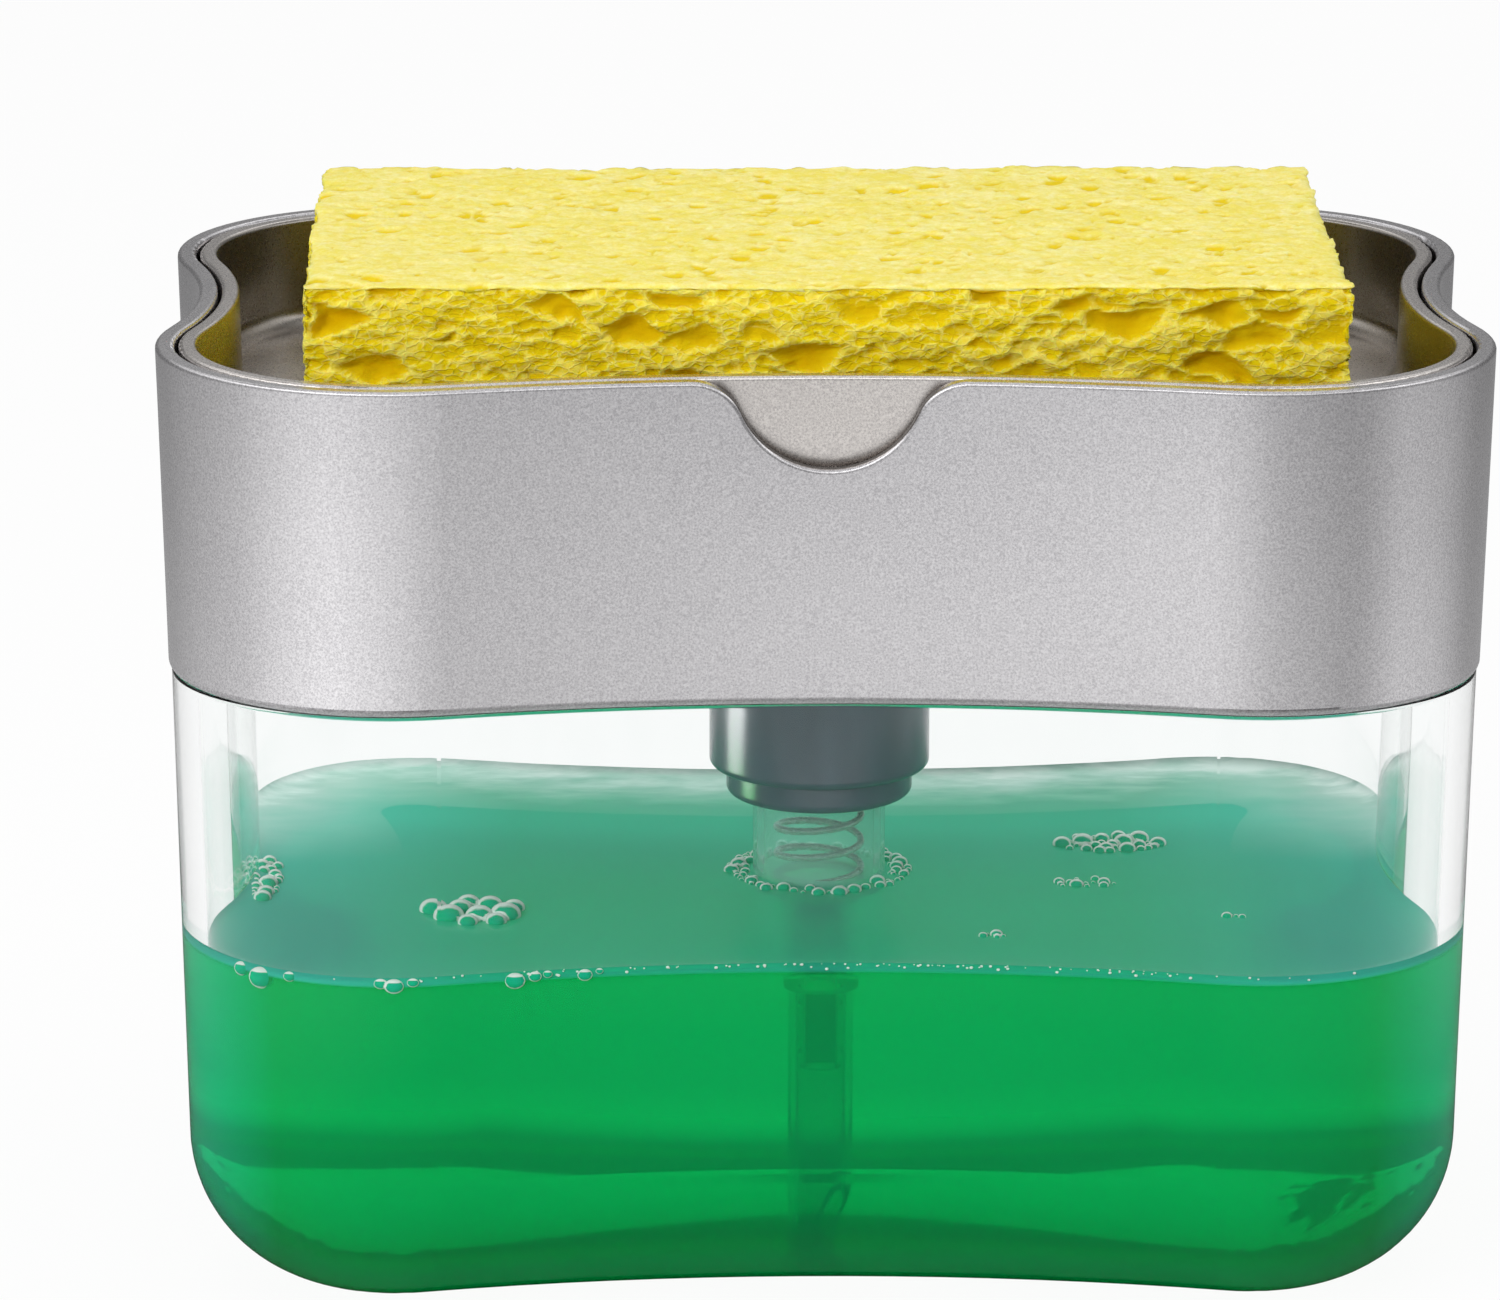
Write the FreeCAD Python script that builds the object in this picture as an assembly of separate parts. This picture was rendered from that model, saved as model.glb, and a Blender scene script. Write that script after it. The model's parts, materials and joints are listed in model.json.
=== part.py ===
import FreeCAD, Part
import math
import os
from FreeCAD import Vector

# Soap pump caddy: a clear four-lobed tank, a silver top with a sponge tray, and a hand pump between them.
# Lengths are in millimetres. Z is up from the base, the finger notch faces -Y, and the plan is centred on Z.

# Plan and height
WIDTH = 139.7
DEPTH = 95.3
HEIGHT = 101.6
LOBE_RADIUS = 24.6
FRONT_RECESS = 5.3
SIDE_RECESS = 3.4

# Silver top
BAND_DRAFT = 1.6
RIM_WALL = 2.0
CAVITY_DRAFT = 0.5
DECK = 2.0
RIM_ROUND = 0.45
SKIRT_EDGE_ROUND = 0.9
NOTCH_DEPTH = 9.4
NOTCH_RADIUS = 9.8
NOTCH_SHOULDER = 5.8

# Clear tank
TANK_STEP = 0.3
TANK_DRAFT = 1.35
TANK_WALL = 2.6
BASE_ROUND = 16.3
NECK_HEIGHT = 5.1
NECK_WALL = 1.25
NECK_CLEARANCE = 0.2
NECK_HEADROOM = 0.3
SEAT_GAP = 0.05
SHOULDER_ROUND = 0.3

# Soap: how far its surface lies below the silver top's foot, and the gaps round it
SOAP_HEADROOM = 29.1
SOAP_GAP = 0.1
WELL_GAP = 0.4

# Tray and sponge
TRAY_GAP = 0.45
TRAY_WALL = 1.85
TRAY_DEPTH = 12.0
TRAY_FLOOR = 2.0
TRAY_DRAFT = 1.5
TRAY_INNER_ROUND = 2.2
TRAY_OUTER_ROUND = 3.2
RIB_HEIGHT = 0.8
RIB_WIDTH = 2.2
RIB_LENGTH = 46.0
RIB_ROUND = 0.5
RIB_PLACES = (-34.0, -17.0, 17.0, 34.0)
DISH_RADIUS = 8.5
DISH_DEPTH = 0.6
OUTLET_RADIUS = 1.6
SOCKET_WALL = 2.6
SOCKET_LENGTH = 9.6
SPONGE_END_GAP = 7.2
SPONGE_SIDE_GAP = 5.5
SPONGE_RISE = 8.0
SPONGE_CORNER = 2.4
SPONGE_EDGE = 1.1

# Pump: travel, barrel and collar
STROKE = 11.0
PRESS_CLEARANCE = 0.7
FLANGE = 1.4
FLANGE_RADIUS = 13.2
BARREL_BORE = 6.0
BARREL_WALL = 1.2
SLEEVE_RADIUS = 10.1
SLEEVE_WALL = 1.5
SLEEVE_FIT = 0.15
WEB = 1.5
WEB_DROP = 12.5
GASKET = 1.2
GASKET_WIDTH = 2.2
COLLAR_WALL = 1.75
COLLAR_LENGTH = 21.4
COLLAR_FLOOR = 1.5
COLLAR_ROUND = 0.9
THREAD_GAP = 0.1
SLEEVE_END_GAP = 0.6
FOOT_RING_LENGTH = 3.1
FOOT_RING_WALL = 1.4

# Pump: stem, seal, rod and spring
GUIDE_PLUG = 3.5
GUIDE_FLANGE = 1.5
STEM_RADIUS = 4.0
STEM_WALL = 1.4
RUNNING_GAP = 0.04
REST_GAP = 0.1
STOP_RADIUS = 5.0
STOP_THICKNESS = 1.6
SEAL_SHIFT = 1.2
SEAL_HUB = 3.4
SEAL_LIP = 0.65
SEAL_LIP_REACH = 0.6
SEAL_BORE_GAP = 0.35
ROD_HEAD = 1.5
ROD_HEAD_RADIUS = 5.05
ROD_LENGTH = 12.0
ROD_GROOVE = 1.4
ROD_PILOT_RADIUS = 3.5
ROD_PILOT = 2.6
ROD_PILOT_TAPER = 0.6
PRESS_GAP = 0.03
SPRING_WIRE = 0.8
SPRING_TURNS = 6.5
SPRING_RADIUS = 4.6
SPRING_END_PITCH = 1.4
SPRING_MARGIN = 0.8

# Pump: inlet valve and dip tube, whose upper end grips the barrel's nozzle for part of its length
BALL_RADIUS = 2.5
BALL_LIFT = 1.2
POCKET_RADIUS = 3.3
POCKET_WALL = 1.0
INLET_BORE = 1.7
NIB_REACH = 1.2
NIB_WIDTH = 1.2
NIB_HEIGHT = 0.7
VALVE_GAP = 0.05
NOZZLE_GRIP = 0.36
BARB_STEP = 0.3
TUBE_RADIUS = 3.7
TUBE_WALL = 1.08
TUBE_FIT = 0.02
TUBE_FLOOR_GAP = 0.8
TUBE_SLANT = 3.0

# How far a cutter runs past the face it cuts, and a joined piece into the piece it joins
OVERCUT = 1.0
OVERLAP = 0.5

AXIS = Vector(0, 0, 1)
ORIGIN = Vector(0, 0, 0)


def drawn_in(degrees, drop):
    """How far a drafted wall moves in over a drop."""
    return math.tan(math.radians(degrees)) * drop


# Heights, built up from the rim down and from the base up
BAND_HEIGHT = (NECK_HEIGHT + NECK_HEADROOM + DECK + FLANGE + PRESS_CLEARANCE
               + STROKE + TRAY_FLOOR + TRAY_DEPTH)
SHOULDER_Z = HEIGHT - BAND_HEIGHT
NECK_TOP = SHOULDER_Z + NECK_HEIGHT
DECK_BOTTOM = NECK_TOP + NECK_HEADROOM
DECK_TOP = DECK_BOTTOM + DECK
FLANGE_TOP = DECK_TOP + FLANGE
TRAY_UNDERSIDE = FLANGE_TOP + PRESS_CLEARANCE + STROKE
TRAY_TOP = TRAY_UNDERSIDE + TRAY_FLOOR
TANK_FLOOR = TANK_WALL
SOAP_LEVEL = SHOULDER_Z - SOAP_HEADROOM

# Insets of each wall from the rim outline
BAND_FOOT_INSET = drawn_in(BAND_DRAFT, BAND_HEIGHT)
TANK_TOP_INSET = BAND_FOOT_INSET + TANK_STEP
NECK_INSET = TANK_TOP_INSET + TANK_WALL - NECK_WALL
TRAY_INSET = RIM_WALL + TRAY_GAP
TRAY_HOLLOW_INSET = TRAY_INSET + TRAY_WALL

# Pump heights
WEB_TOP = DECK_TOP - WEB_DROP
WEB_BOTTOM = WEB_TOP - WEB
GUIDE_BOTTOM = WEB_TOP - GUIDE_PLUG
STOP_TOP = GUIDE_BOTTOM - REST_GAP
STOP_BOTTOM = STOP_TOP - STOP_THICKNESS
SEAL_TOP = STOP_BOTTOM - SEAL_SHIFT - VALVE_GAP
SEAL_BOTTOM = SEAL_TOP - SEAL_HUB
HEAD_TOP = SEAL_BOTTOM - VALVE_GAP
HEAD_BOTTOM = HEAD_TOP - ROD_HEAD
SPRING_LENGTH = SPRING_TURNS * SPRING_WIRE + STROKE + SPRING_MARGIN
LEDGE_Z = HEAD_BOTTOM - SPRING_LENGTH
COLLAR_TOP = DECK_BOTTOM - GASKET
COLLAR_STEP = COLLAR_TOP - COLLAR_LENGTH
COLLAR_BOTTOM = COLLAR_STEP - FOOT_RING_LENGTH
SLEEVE_BOTTOM = COLLAR_STEP + COLLAR_FLOOR + SLEEVE_END_GAP

# Inlet valve: a ball on a 45 degree seat, held down by nibs
SEAT_RISE = POCKET_RADIUS - INLET_BORE
BALL_CONTACT = BALL_RADIUS * math.sqrt(0.5)
NIB_INNER = POCKET_RADIUS - NIB_REACH
NIB_ABOVE_CENTRE = math.sqrt(BALL_RADIUS ** 2 - NIB_INNER ** 2) + BALL_LIFT + VALVE_GAP
BALL_ABOVE_SEAT = 2 * BALL_CONTACT - INLET_BORE + VALVE_GAP
SEAT_Z = LEDGE_Z - BALL_ABOVE_SEAT - NIB_ABOVE_CENTRE - NIB_HEIGHT
BALL_Z = SEAT_Z + BALL_ABOVE_SEAT
NOZZLE_TOP = SEAT_Z - BARREL_WALL
TUBE_BOTTOM = TANK_FLOOR + TUBE_FLOOR_GAP
TUBE_BORE = TUBE_RADIUS - TUBE_WALL
NOZZLE_LENGTH = NOZZLE_GRIP * (NOZZLE_TOP - TUBE_BOTTOM)
BARB_RADIUS = TUBE_BORE - TUBE_FIT
NOZZLE_RADIUS = BARB_RADIUS - BARB_STEP
BARREL_RADIUS = BARREL_BORE + BARREL_WALL
SLEEVE_BORE = SLEEVE_RADIUS - SLEEVE_WALL
STEM_BORE = STEM_RADIUS - STEM_WALL
ROD_RADIUS = STEM_BORE - PRESS_GAP
COLLAR_RADIUS = SLEEVE_RADIUS + THREAD_GAP + COLLAR_WALL


def outline(inset, z):
    """The four-lobed plan as a closed wire of eight tangent arcs, drawn in by inset, at height z."""
    lobe = LOBE_RADIUS - inset
    lobe_x = WIDTH / 2 - LOBE_RADIUS
    lobe_y = DEPTH / 2 - LOBE_RADIUS
    long_reach = (lobe_x ** 2 + FRONT_RECESS ** 2) / (2 * FRONT_RECESS)
    short_reach = (lobe_y ** 2 + SIDE_RECESS ** 2) / (2 * SIDE_RECESS)
    long_centre = lobe_y + long_reach - FRONT_RECESS
    short_centre = lobe_x + short_reach - SIDE_RECESS
    long_angle = math.atan2(long_centre - lobe_y, -lobe_x)
    short_angle = math.atan2(-lobe_y, short_centre - lobe_x)
    middle_angle = (long_angle + short_angle) / 2

    def lobe_point(angle, sign_x, sign_y):
        x = lobe_x + lobe * math.cos(angle)
        y = lobe_y + lobe * math.sin(angle)
        return Vector(sign_x * x, sign_y * y, z)

    waist_x = short_centre - short_reach + lobe
    waist_y = long_centre - long_reach + lobe
    right = [lobe_point(short_angle, 1, -1), Vector(waist_x, 0, z), lobe_point(short_angle, 1, 1)]
    back_right = [lobe_point(a, 1, 1) for a in (short_angle, middle_angle, long_angle)]
    back = [lobe_point(long_angle, 1, 1), Vector(0, waist_y, z), lobe_point(long_angle, -1, 1)]
    back_left = [lobe_point(a, -1, 1) for a in (long_angle, middle_angle, short_angle)]
    left = [lobe_point(short_angle, -1, 1), Vector(-waist_x, 0, z), lobe_point(short_angle, -1, -1)]
    front_left = [lobe_point(a, -1, -1) for a in (short_angle, middle_angle, long_angle)]
    front = [lobe_point(long_angle, -1, -1), Vector(0, -waist_y, z), lobe_point(long_angle, 1, -1)]
    front_right = [lobe_point(a, 1, -1) for a in (long_angle, middle_angle, short_angle)]
    arcs = [right, back_right, back, back_left, left, front_left, front, front_right]
    return Part.Wire([Part.Arc(*three).toShape() for three in arcs])


def lobed_block(low_inset, low_z, high_inset, high_z):
    """A solid with the lobed plan at both ends and straight walls between."""
    return Part.makeLoft([outline(low_inset, low_z), outline(high_inset, high_z)], True, True)


def turned(*profile):
    """A solid turned about Z from (radius, height) corners."""
    corners = [Vector(radius, 0, z) for radius, z in profile]
    face = Part.Face(Part.makePolygon(corners + corners[:1]))
    return face.revolve(ORIGIN, AXIS, 360)


def cylinder(radius, low, high):
    return Part.makeCylinder(radius, high - low, Vector(0, 0, low))


def level_edges(shape, z):
    """The edges that lie flat at height z."""
    flat = []
    for edge in shape.Edges:
        box = edge.BoundBox
        if abs(box.ZMin - z) < 1e-4 and abs(box.ZMax - z) < 1e-4:
            flat.append(edge)
    return flat


def make_tank():
    base_inset = TANK_TOP_INSET + drawn_in(TANK_DRAFT, SHOULDER_Z)
    outer = lobed_block(base_inset, 0, TANK_TOP_INSET, SHOULDER_Z)
    outer = outer.makeFillet(BASE_ROUND, level_edges(outer, 0))
    outer = outer.makeFillet(SHOULDER_ROUND, level_edges(outer, SHOULDER_Z))
    neck = lobed_block(NECK_INSET, SHOULDER_Z - OVERLAP, NECK_INSET, NECK_TOP)
    neck = neck.makeFillet(SHOULDER_ROUND, level_edges(neck, NECK_TOP))
    return outer.fuse(neck).cut(tank_hollow(0, NECK_TOP + OVERCUT)).removeSplitter()


def tank_hollow(gap, top):
    """The space inside the tank's walls, less a gap all round, up to a height."""
    wall = TANK_TOP_INSET + TANK_WALL + gap
    floor = TANK_FLOOR + gap
    low_inset = wall + drawn_in(TANK_DRAFT, SHOULDER_Z - floor)
    high_inset = wall + drawn_in(TANK_DRAFT, SHOULDER_Z - top)
    space = lobed_block(low_inset, floor, high_inset, top)
    return space.makeFillet(BASE_ROUND - TANK_WALL - gap, level_edges(space, floor))


def make_soap():
    """The soap as a still solid, with a well that the pump stands in."""
    soap = tank_hollow(SOAP_GAP, SOAP_LEVEL)
    well = cylinder(BARREL_RADIUS + WELL_GAP, NOZZLE_TOP - WELL_GAP, SOAP_LEVEL + OVERCUT)
    tube_well = cylinder(TUBE_RADIUS + WELL_GAP, TUBE_BOTTOM - WELL_GAP, NOZZLE_TOP)
    return soap.cut(well.fuse(tube_well))


def notch_cutter():
    """The finger notch's outline, a round cut with round shoulders, pushed through the front wall."""
    centre_z = HEIGHT - NOTCH_DEPTH + NOTCH_RADIUS
    shoulder_z = HEIGHT - NOTCH_SHOULDER
    reach = NOTCH_RADIUS + NOTCH_SHOULDER
    shoulder_x = math.sqrt(reach ** 2 - (centre_z - shoulder_z) ** 2)
    touch_x = shoulder_x * NOTCH_RADIUS / reach
    touch_z = centre_z + (shoulder_z - centre_z) * NOTCH_RADIUS / reach
    start_angle = math.atan2(touch_z - shoulder_z, touch_x - shoulder_x)
    middle_angle = (start_angle + math.pi / 2) / 2
    bend_x = shoulder_x + NOTCH_SHOULDER * math.cos(middle_angle)
    bend_z = shoulder_z + NOTCH_SHOULDER * math.sin(middle_angle)
    y = -DEPTH

    def at(x, z):
        return Vector(x, y, z)

    above = HEIGHT + OVERCUT
    edges = [
        Part.makeLine(at(-shoulder_x, above), at(-shoulder_x, HEIGHT)),
        Part.Arc(at(-shoulder_x, HEIGHT), at(-bend_x, bend_z), at(-touch_x, touch_z)).toShape(),
        Part.Arc(at(-touch_x, touch_z), at(0, HEIGHT - NOTCH_DEPTH), at(touch_x, touch_z)).toShape(),
        Part.Arc(at(touch_x, touch_z), at(bend_x, bend_z), at(shoulder_x, HEIGHT)).toShape(),
        Part.makeLine(at(shoulder_x, HEIGHT), at(shoulder_x, above)),
        Part.makeLine(at(shoulder_x, above), at(-shoulder_x, above)),
    ]
    return Part.Face(Part.Wire(edges)).extrude(Vector(0, DEPTH, 0))


def notch_edges(shape):
    """The notch's long edges, along the wall's outer and inner faces."""
    found = []
    for edge in shape.Edges:
        box = edge.BoundBox
        in_notch = box.ZMin > HEIGHT - NOTCH_DEPTH - RIM_ROUND and box.YMax < 0
        sloping = box.ZLength > RIM_ROUND
        along_wall = box.XLength > box.YLength
        if in_notch and sloping and along_wall:
            found.append(edge)
    return found


def make_upper_housing():
    foot = SHOULDER_Z + SEAT_GAP
    band = lobed_block(BAND_FOOT_INSET, foot, 0, HEIGHT)
    band = band.makeFillet(SKIRT_EDGE_ROUND, level_edges(band, foot))
    floor_inset = RIM_WALL + drawn_in(CAVITY_DRAFT, HEIGHT - DECK_TOP)
    above_inset = RIM_WALL - drawn_in(CAVITY_DRAFT, OVERCUT)
    cavity = lobed_block(floor_inset, DECK_TOP, above_inset, HEIGHT + OVERCUT)
    lap_inset = NECK_INSET - NECK_CLEARANCE
    lap = lobed_block(lap_inset, SHOULDER_Z - OVERCUT, lap_inset, DECK_BOTTOM)
    hole = cylinder(SLEEVE_RADIUS + SLEEVE_FIT, DECK_BOTTOM - OVERCUT, DECK_TOP + OVERCUT)
    housing = band.cut(cavity).cut(lap).cut(hole).cut(notch_cutter())
    return housing.makeFillet(RIM_ROUND, level_edges(housing, HEIGHT) + notch_edges(housing))


def make_tray():
    floor_drop = HEIGHT - TRAY_UNDERSIDE
    outer = lobed_block(TRAY_INSET + drawn_in(TRAY_DRAFT, floor_drop), TRAY_UNDERSIDE, TRAY_INSET, HEIGHT)
    outer = outer.makeFillet(TRAY_OUTER_ROUND, level_edges(outer, TRAY_UNDERSIDE))
    low_inset = TRAY_HOLLOW_INSET + drawn_in(TRAY_DRAFT, TRAY_DEPTH)
    high_inset = TRAY_HOLLOW_INSET - drawn_in(TRAY_DRAFT, OVERCUT)
    hollow = lobed_block(low_inset, TRAY_TOP, high_inset, HEIGHT + OVERCUT)
    hollow = hollow.makeFillet(TRAY_INNER_ROUND, level_edges(hollow, TRAY_TOP))
    tray = outer.cut(hollow)
    socket_radius = STEM_RADIUS + RUNNING_GAP + SOCKET_WALL
    tray = tray.fuse(cylinder(socket_radius, TRAY_UNDERSIDE - SOCKET_LENGTH, TRAY_UNDERSIDE + OVERLAP))
    for x in RIB_PLACES:
        corner = Vector(x - RIB_WIDTH / 2, -RIB_LENGTH / 2, TRAY_TOP - OVERLAP)
        rib = Part.makeBox(RIB_WIDTH, RIB_LENGTH, RIB_HEIGHT + OVERLAP, corner)
        tray = tray.fuse(rib.makeFillet(RIB_ROUND, level_edges(rib, TRAY_TOP + RIB_HEIGHT)))
    above = TRAY_TOP + OVERCUT
    dish = turned((0, TRAY_TOP - DISH_DEPTH), (DISH_RADIUS, TRAY_TOP), (DISH_RADIUS, above), (0, above))
    outlet = cylinder(OUTLET_RADIUS, TRAY_UNDERSIDE - OVERCUT, above)
    socket = cylinder(STEM_RADIUS + RUNNING_GAP, TRAY_UNDERSIDE - SOCKET_LENGTH - OVERCUT, TRAY_UNDERSIDE)
    tray = tray.cut(dish).cut(outlet).cut(socket).removeSplitter()
    return tray.makeFillet(RIM_ROUND, level_edges(tray, HEIGHT))


def make_sponge():
    low_inset = TRAY_HOLLOW_INSET + drawn_in(TRAY_DRAFT, TRAY_DEPTH)
    length = WIDTH - 2 * (SIDE_RECESS + low_inset + SPONGE_END_GAP)
    width = DEPTH - 2 * (FRONT_RECESS + low_inset + SPONGE_SIDE_GAP)
    bottom = TRAY_TOP + RIB_HEIGHT + SEAT_GAP
    top = HEIGHT + SPONGE_RISE
    sponge = Part.makeBox(length, width, top - bottom, Vector(-length / 2, -width / 2, bottom))
    upright = [edge for edge in sponge.Edges if edge.BoundBox.ZLength > SPONGE_EDGE]
    sponge = sponge.makeFillet(SPONGE_CORNER, upright)
    rims = level_edges(sponge, bottom) + level_edges(sponge, top)
    return sponge.makeFillet(SPONGE_EDGE, rims)


def make_collar():
    bore = SLEEVE_RADIUS + THREAD_GAP
    floor_bore = BARREL_RADIUS + SLEEVE_FIT
    ring_radius = SLEEVE_RADIUS
    ring_bore = ring_radius - FOOT_RING_WALL
    floor_top = COLLAR_STEP + COLLAR_FLOOR
    collar = turned(
        (bore, COLLAR_TOP), (COLLAR_RADIUS, COLLAR_TOP), (COLLAR_RADIUS, COLLAR_STEP),
        (ring_radius, COLLAR_STEP), (ring_radius, COLLAR_BOTTOM), (ring_bore, COLLAR_BOTTOM),
        (ring_bore, COLLAR_STEP), (floor_bore, COLLAR_STEP), (floor_bore, floor_top), (bore, floor_top))
    corners = [edge for edge in collar.Edges if is_circle_at(edge, COLLAR_RADIUS, COLLAR_STEP)]
    collar = collar.makeFillet(COLLAR_ROUND, corners)
    foot = [edge for edge in collar.Edges if is_circle_at(edge, ring_radius, COLLAR_BOTTOM)]
    return collar.makeFillet(COLLAR_ROUND, foot)


def is_circle_at(edge, radius, z):
    """Whether an edge is a level circle about Z of this radius and height."""
    box = edge.BoundBox
    level = abs(box.ZMin - z) < 1e-4 and abs(box.ZMax - z) < 1e-4
    return level and abs(box.XMax - radius) < 1e-3


def make_gasket():
    inner = SLEEVE_RADIUS + THREAD_GAP
    outer = inner + GASKET_WIDTH
    return turned((inner, COLLAR_TOP), (outer, COLLAR_TOP), (outer, DECK_BOTTOM), (inner, DECK_BOTTOM))


def make_barrel():
    """The pump's barrel: a flanged sleeve, the bore below it, the inlet seat and a barbed nozzle."""
    pocket_outer = POCKET_RADIUS + POCKET_WALL
    cone_top = LEDGE_Z - BARREL_WALL
    cone_bottom = cone_top - (BARREL_RADIUS - pocket_outer)
    fifth = NOZZLE_LENGTH / 5
    upper_barb = NOZZLE_TOP - fifth
    lower_barb = NOZZLE_TOP - 4 * fifth
    nozzle_end = NOZZLE_TOP - NOZZLE_LENGTH
    barrel = turned(
        (FLANGE_RADIUS, FLANGE_TOP), (FLANGE_RADIUS, DECK_TOP), (SLEEVE_RADIUS, DECK_TOP),
        (SLEEVE_RADIUS, SLEEVE_BOTTOM), (SLEEVE_BORE, SLEEVE_BOTTOM), (SLEEVE_BORE, WEB_BOTTOM),
        (BARREL_RADIUS, WEB_BOTTOM), (BARREL_RADIUS, cone_top), (pocket_outer, cone_bottom),
        (pocket_outer, NOZZLE_TOP), (NOZZLE_RADIUS, NOZZLE_TOP), (NOZZLE_RADIUS, upper_barb),
        (BARB_RADIUS, upper_barb), (NOZZLE_RADIUS, upper_barb - fifth),
        (NOZZLE_RADIUS, lower_barb), (BARB_RADIUS, lower_barb), (NOZZLE_RADIUS, nozzle_end),
        (INLET_BORE, nozzle_end), (INLET_BORE, SEAT_Z), (POCKET_RADIUS, SEAT_Z + SEAT_RISE),
        (POCKET_RADIUS, LEDGE_Z), (BARREL_BORE, LEDGE_Z), (BARREL_BORE, WEB_TOP),
        (SLEEVE_BORE, WEB_TOP), (SLEEVE_BORE, FLANGE_TOP))
    for quarter in range(4):
        corner = Vector(NIB_INNER, -NIB_WIDTH / 2, LEDGE_Z - NIB_HEIGHT)
        nib = Part.makeBox(NIB_REACH + POCKET_WALL / 2, NIB_WIDTH, NIB_HEIGHT, corner)
        nib.rotate(ORIGIN, AXIS, 90 * quarter)
        barrel = barrel.fuse(nib)
    return barrel.removeSplitter()


def make_guide():
    plug = BARREL_BORE - PRESS_GAP
    flange = SLEEVE_BORE - THREAD_GAP
    bore = STEM_RADIUS + RUNNING_GAP
    flange_top = WEB_TOP + GUIDE_FLANGE
    return turned((bore, GUIDE_BOTTOM), (plug, GUIDE_BOTTOM), (plug, WEB_TOP), (flange, WEB_TOP),
                  (flange, flange_top), (bore, flange_top))


def make_stem():
    top = TRAY_UNDERSIDE - SEAT_GAP
    return turned((STEM_BORE, STOP_BOTTOM), (STOP_RADIUS, STOP_BOTTOM), (STOP_RADIUS, STOP_TOP),
                  (STEM_RADIUS, STOP_TOP), (STEM_RADIUS, top), (STEM_BORE, top))


def make_rod():
    """The grooved plug in the stem's foot, with the valve head and a pilot for the spring."""
    pilot_end = HEAD_BOTTOM - ROD_PILOT
    rod = turned((0, pilot_end), (ROD_PILOT_RADIUS - ROD_PILOT_TAPER, pilot_end),
                 (ROD_PILOT_RADIUS, pilot_end + ROD_PILOT_TAPER), (ROD_PILOT_RADIUS, HEAD_BOTTOM),
                 (ROD_HEAD_RADIUS, HEAD_BOTTOM), (ROD_HEAD_RADIUS, HEAD_TOP), (ROD_RADIUS, HEAD_TOP),
                 (ROD_RADIUS, HEAD_TOP + ROD_LENGTH), (0, HEAD_TOP + ROD_LENGTH))
    for quarter in range(4):
        corner = Vector(ROD_RADIUS - ROD_GROOVE, -ROD_GROOVE / 2, HEAD_TOP)
        groove = Part.makeBox(2 * ROD_GROOVE, ROD_GROOVE, ROD_LENGTH + OVERCUT, corner)
        groove.rotate(ORIGIN, AXIS, 45 + 90 * quarter)
        rod = rod.cut(groove)
    return rod


def make_seal():
    """The double-lipped seal: a hub that slides on the rod and a lip up and down along the bore."""
    bore = ROD_RADIUS + SEAL_BORE_GAP
    outer = BARREL_BORE - RUNNING_GAP
    lip = outer - SEAL_LIP
    hub = STEM_RADIUS
    web_low = SEAL_BOTTOM + SEAL_HUB * 0.35
    web_high = SEAL_BOTTOM + SEAL_HUB * 0.65
    low = SEAL_BOTTOM - SEAL_LIP_REACH
    high = SEAL_TOP + SEAL_LIP_REACH
    return turned((bore, SEAL_BOTTOM), (hub, SEAL_BOTTOM), (hub, web_low), (lip, web_low), (lip, low),
                  (outer, low), (outer, high), (lip, high), (lip, web_high), (hub, web_high),
                  (hub, SEAL_TOP), (bore, SEAL_TOP))


def spring_height(turn):
    """Height of the wire's middle above the ledge after some turns: close end turns, open ones between."""
    rise = SPRING_LENGTH - SPRING_WIRE - 2 * VALVE_GAP
    middle_turns = SPRING_TURNS - 2
    middle_pitch = (rise - 2 * SPRING_END_PITCH) / middle_turns
    start = SPRING_WIRE / 2 + VALVE_GAP
    if turn <= 1:
        return start + SPRING_END_PITCH * turn
    if turn <= 1 + middle_turns:
        return start + SPRING_END_PITCH + middle_pitch * (turn - 1)
    return start + rise - SPRING_END_PITCH * (SPRING_TURNS - turn)


def spring_point(turn):
    """A point on the wire's middle line, its height eased over half a turn so the pitch changes gently."""
    angle = 2 * math.pi * turn
    near = [turn + step for step in (-0.25, -0.125, 0, 0.125, 0.25)]
    eased = sum(spring_height(place) for place in near) / len(near)
    z = LEDGE_Z + eased
    return Vector(SPRING_RADIUS * math.cos(angle), SPRING_RADIUS * math.sin(angle), z)


def spring_direction(turn):
    step = 1e-4
    return (spring_point(turn + step) - spring_point(turn - step)).normalize()


def arc_between(start, along, end):
    """The arc that leaves start in a direction and ends at end."""
    chord = end - start
    half_turn = math.acos(max(-1.0, min(1.0, along.dot(chord) / chord.Length)))
    middle = (start + end) * 0.5
    corner = start + along * (chord.Length / (2 * math.cos(half_turn)))
    crown = middle + (corner - middle) * (math.tan(half_turn / 2) / math.tan(half_turn))
    return Part.Arc(start, crown, end).toShape()


def two_arcs(start, start_along, end, end_along):
    """Two tangent arcs that join two points in the directions given."""
    chord = end - start
    both = start_along + end_along
    spread = 2 * (1 - start_along.dot(end_along))
    pull = chord.dot(both)
    reach = (-pull + math.sqrt(pull ** 2 + spread * chord.dot(chord))) / spread
    first_corner = start + start_along * reach
    second_corner = end - end_along * reach
    join = (first_corner + second_corner) * 0.5
    join_along = (second_corner - first_corner).normalize()
    return [arc_between(start, start_along, join), arc_between(join, join_along, end)]


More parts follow.
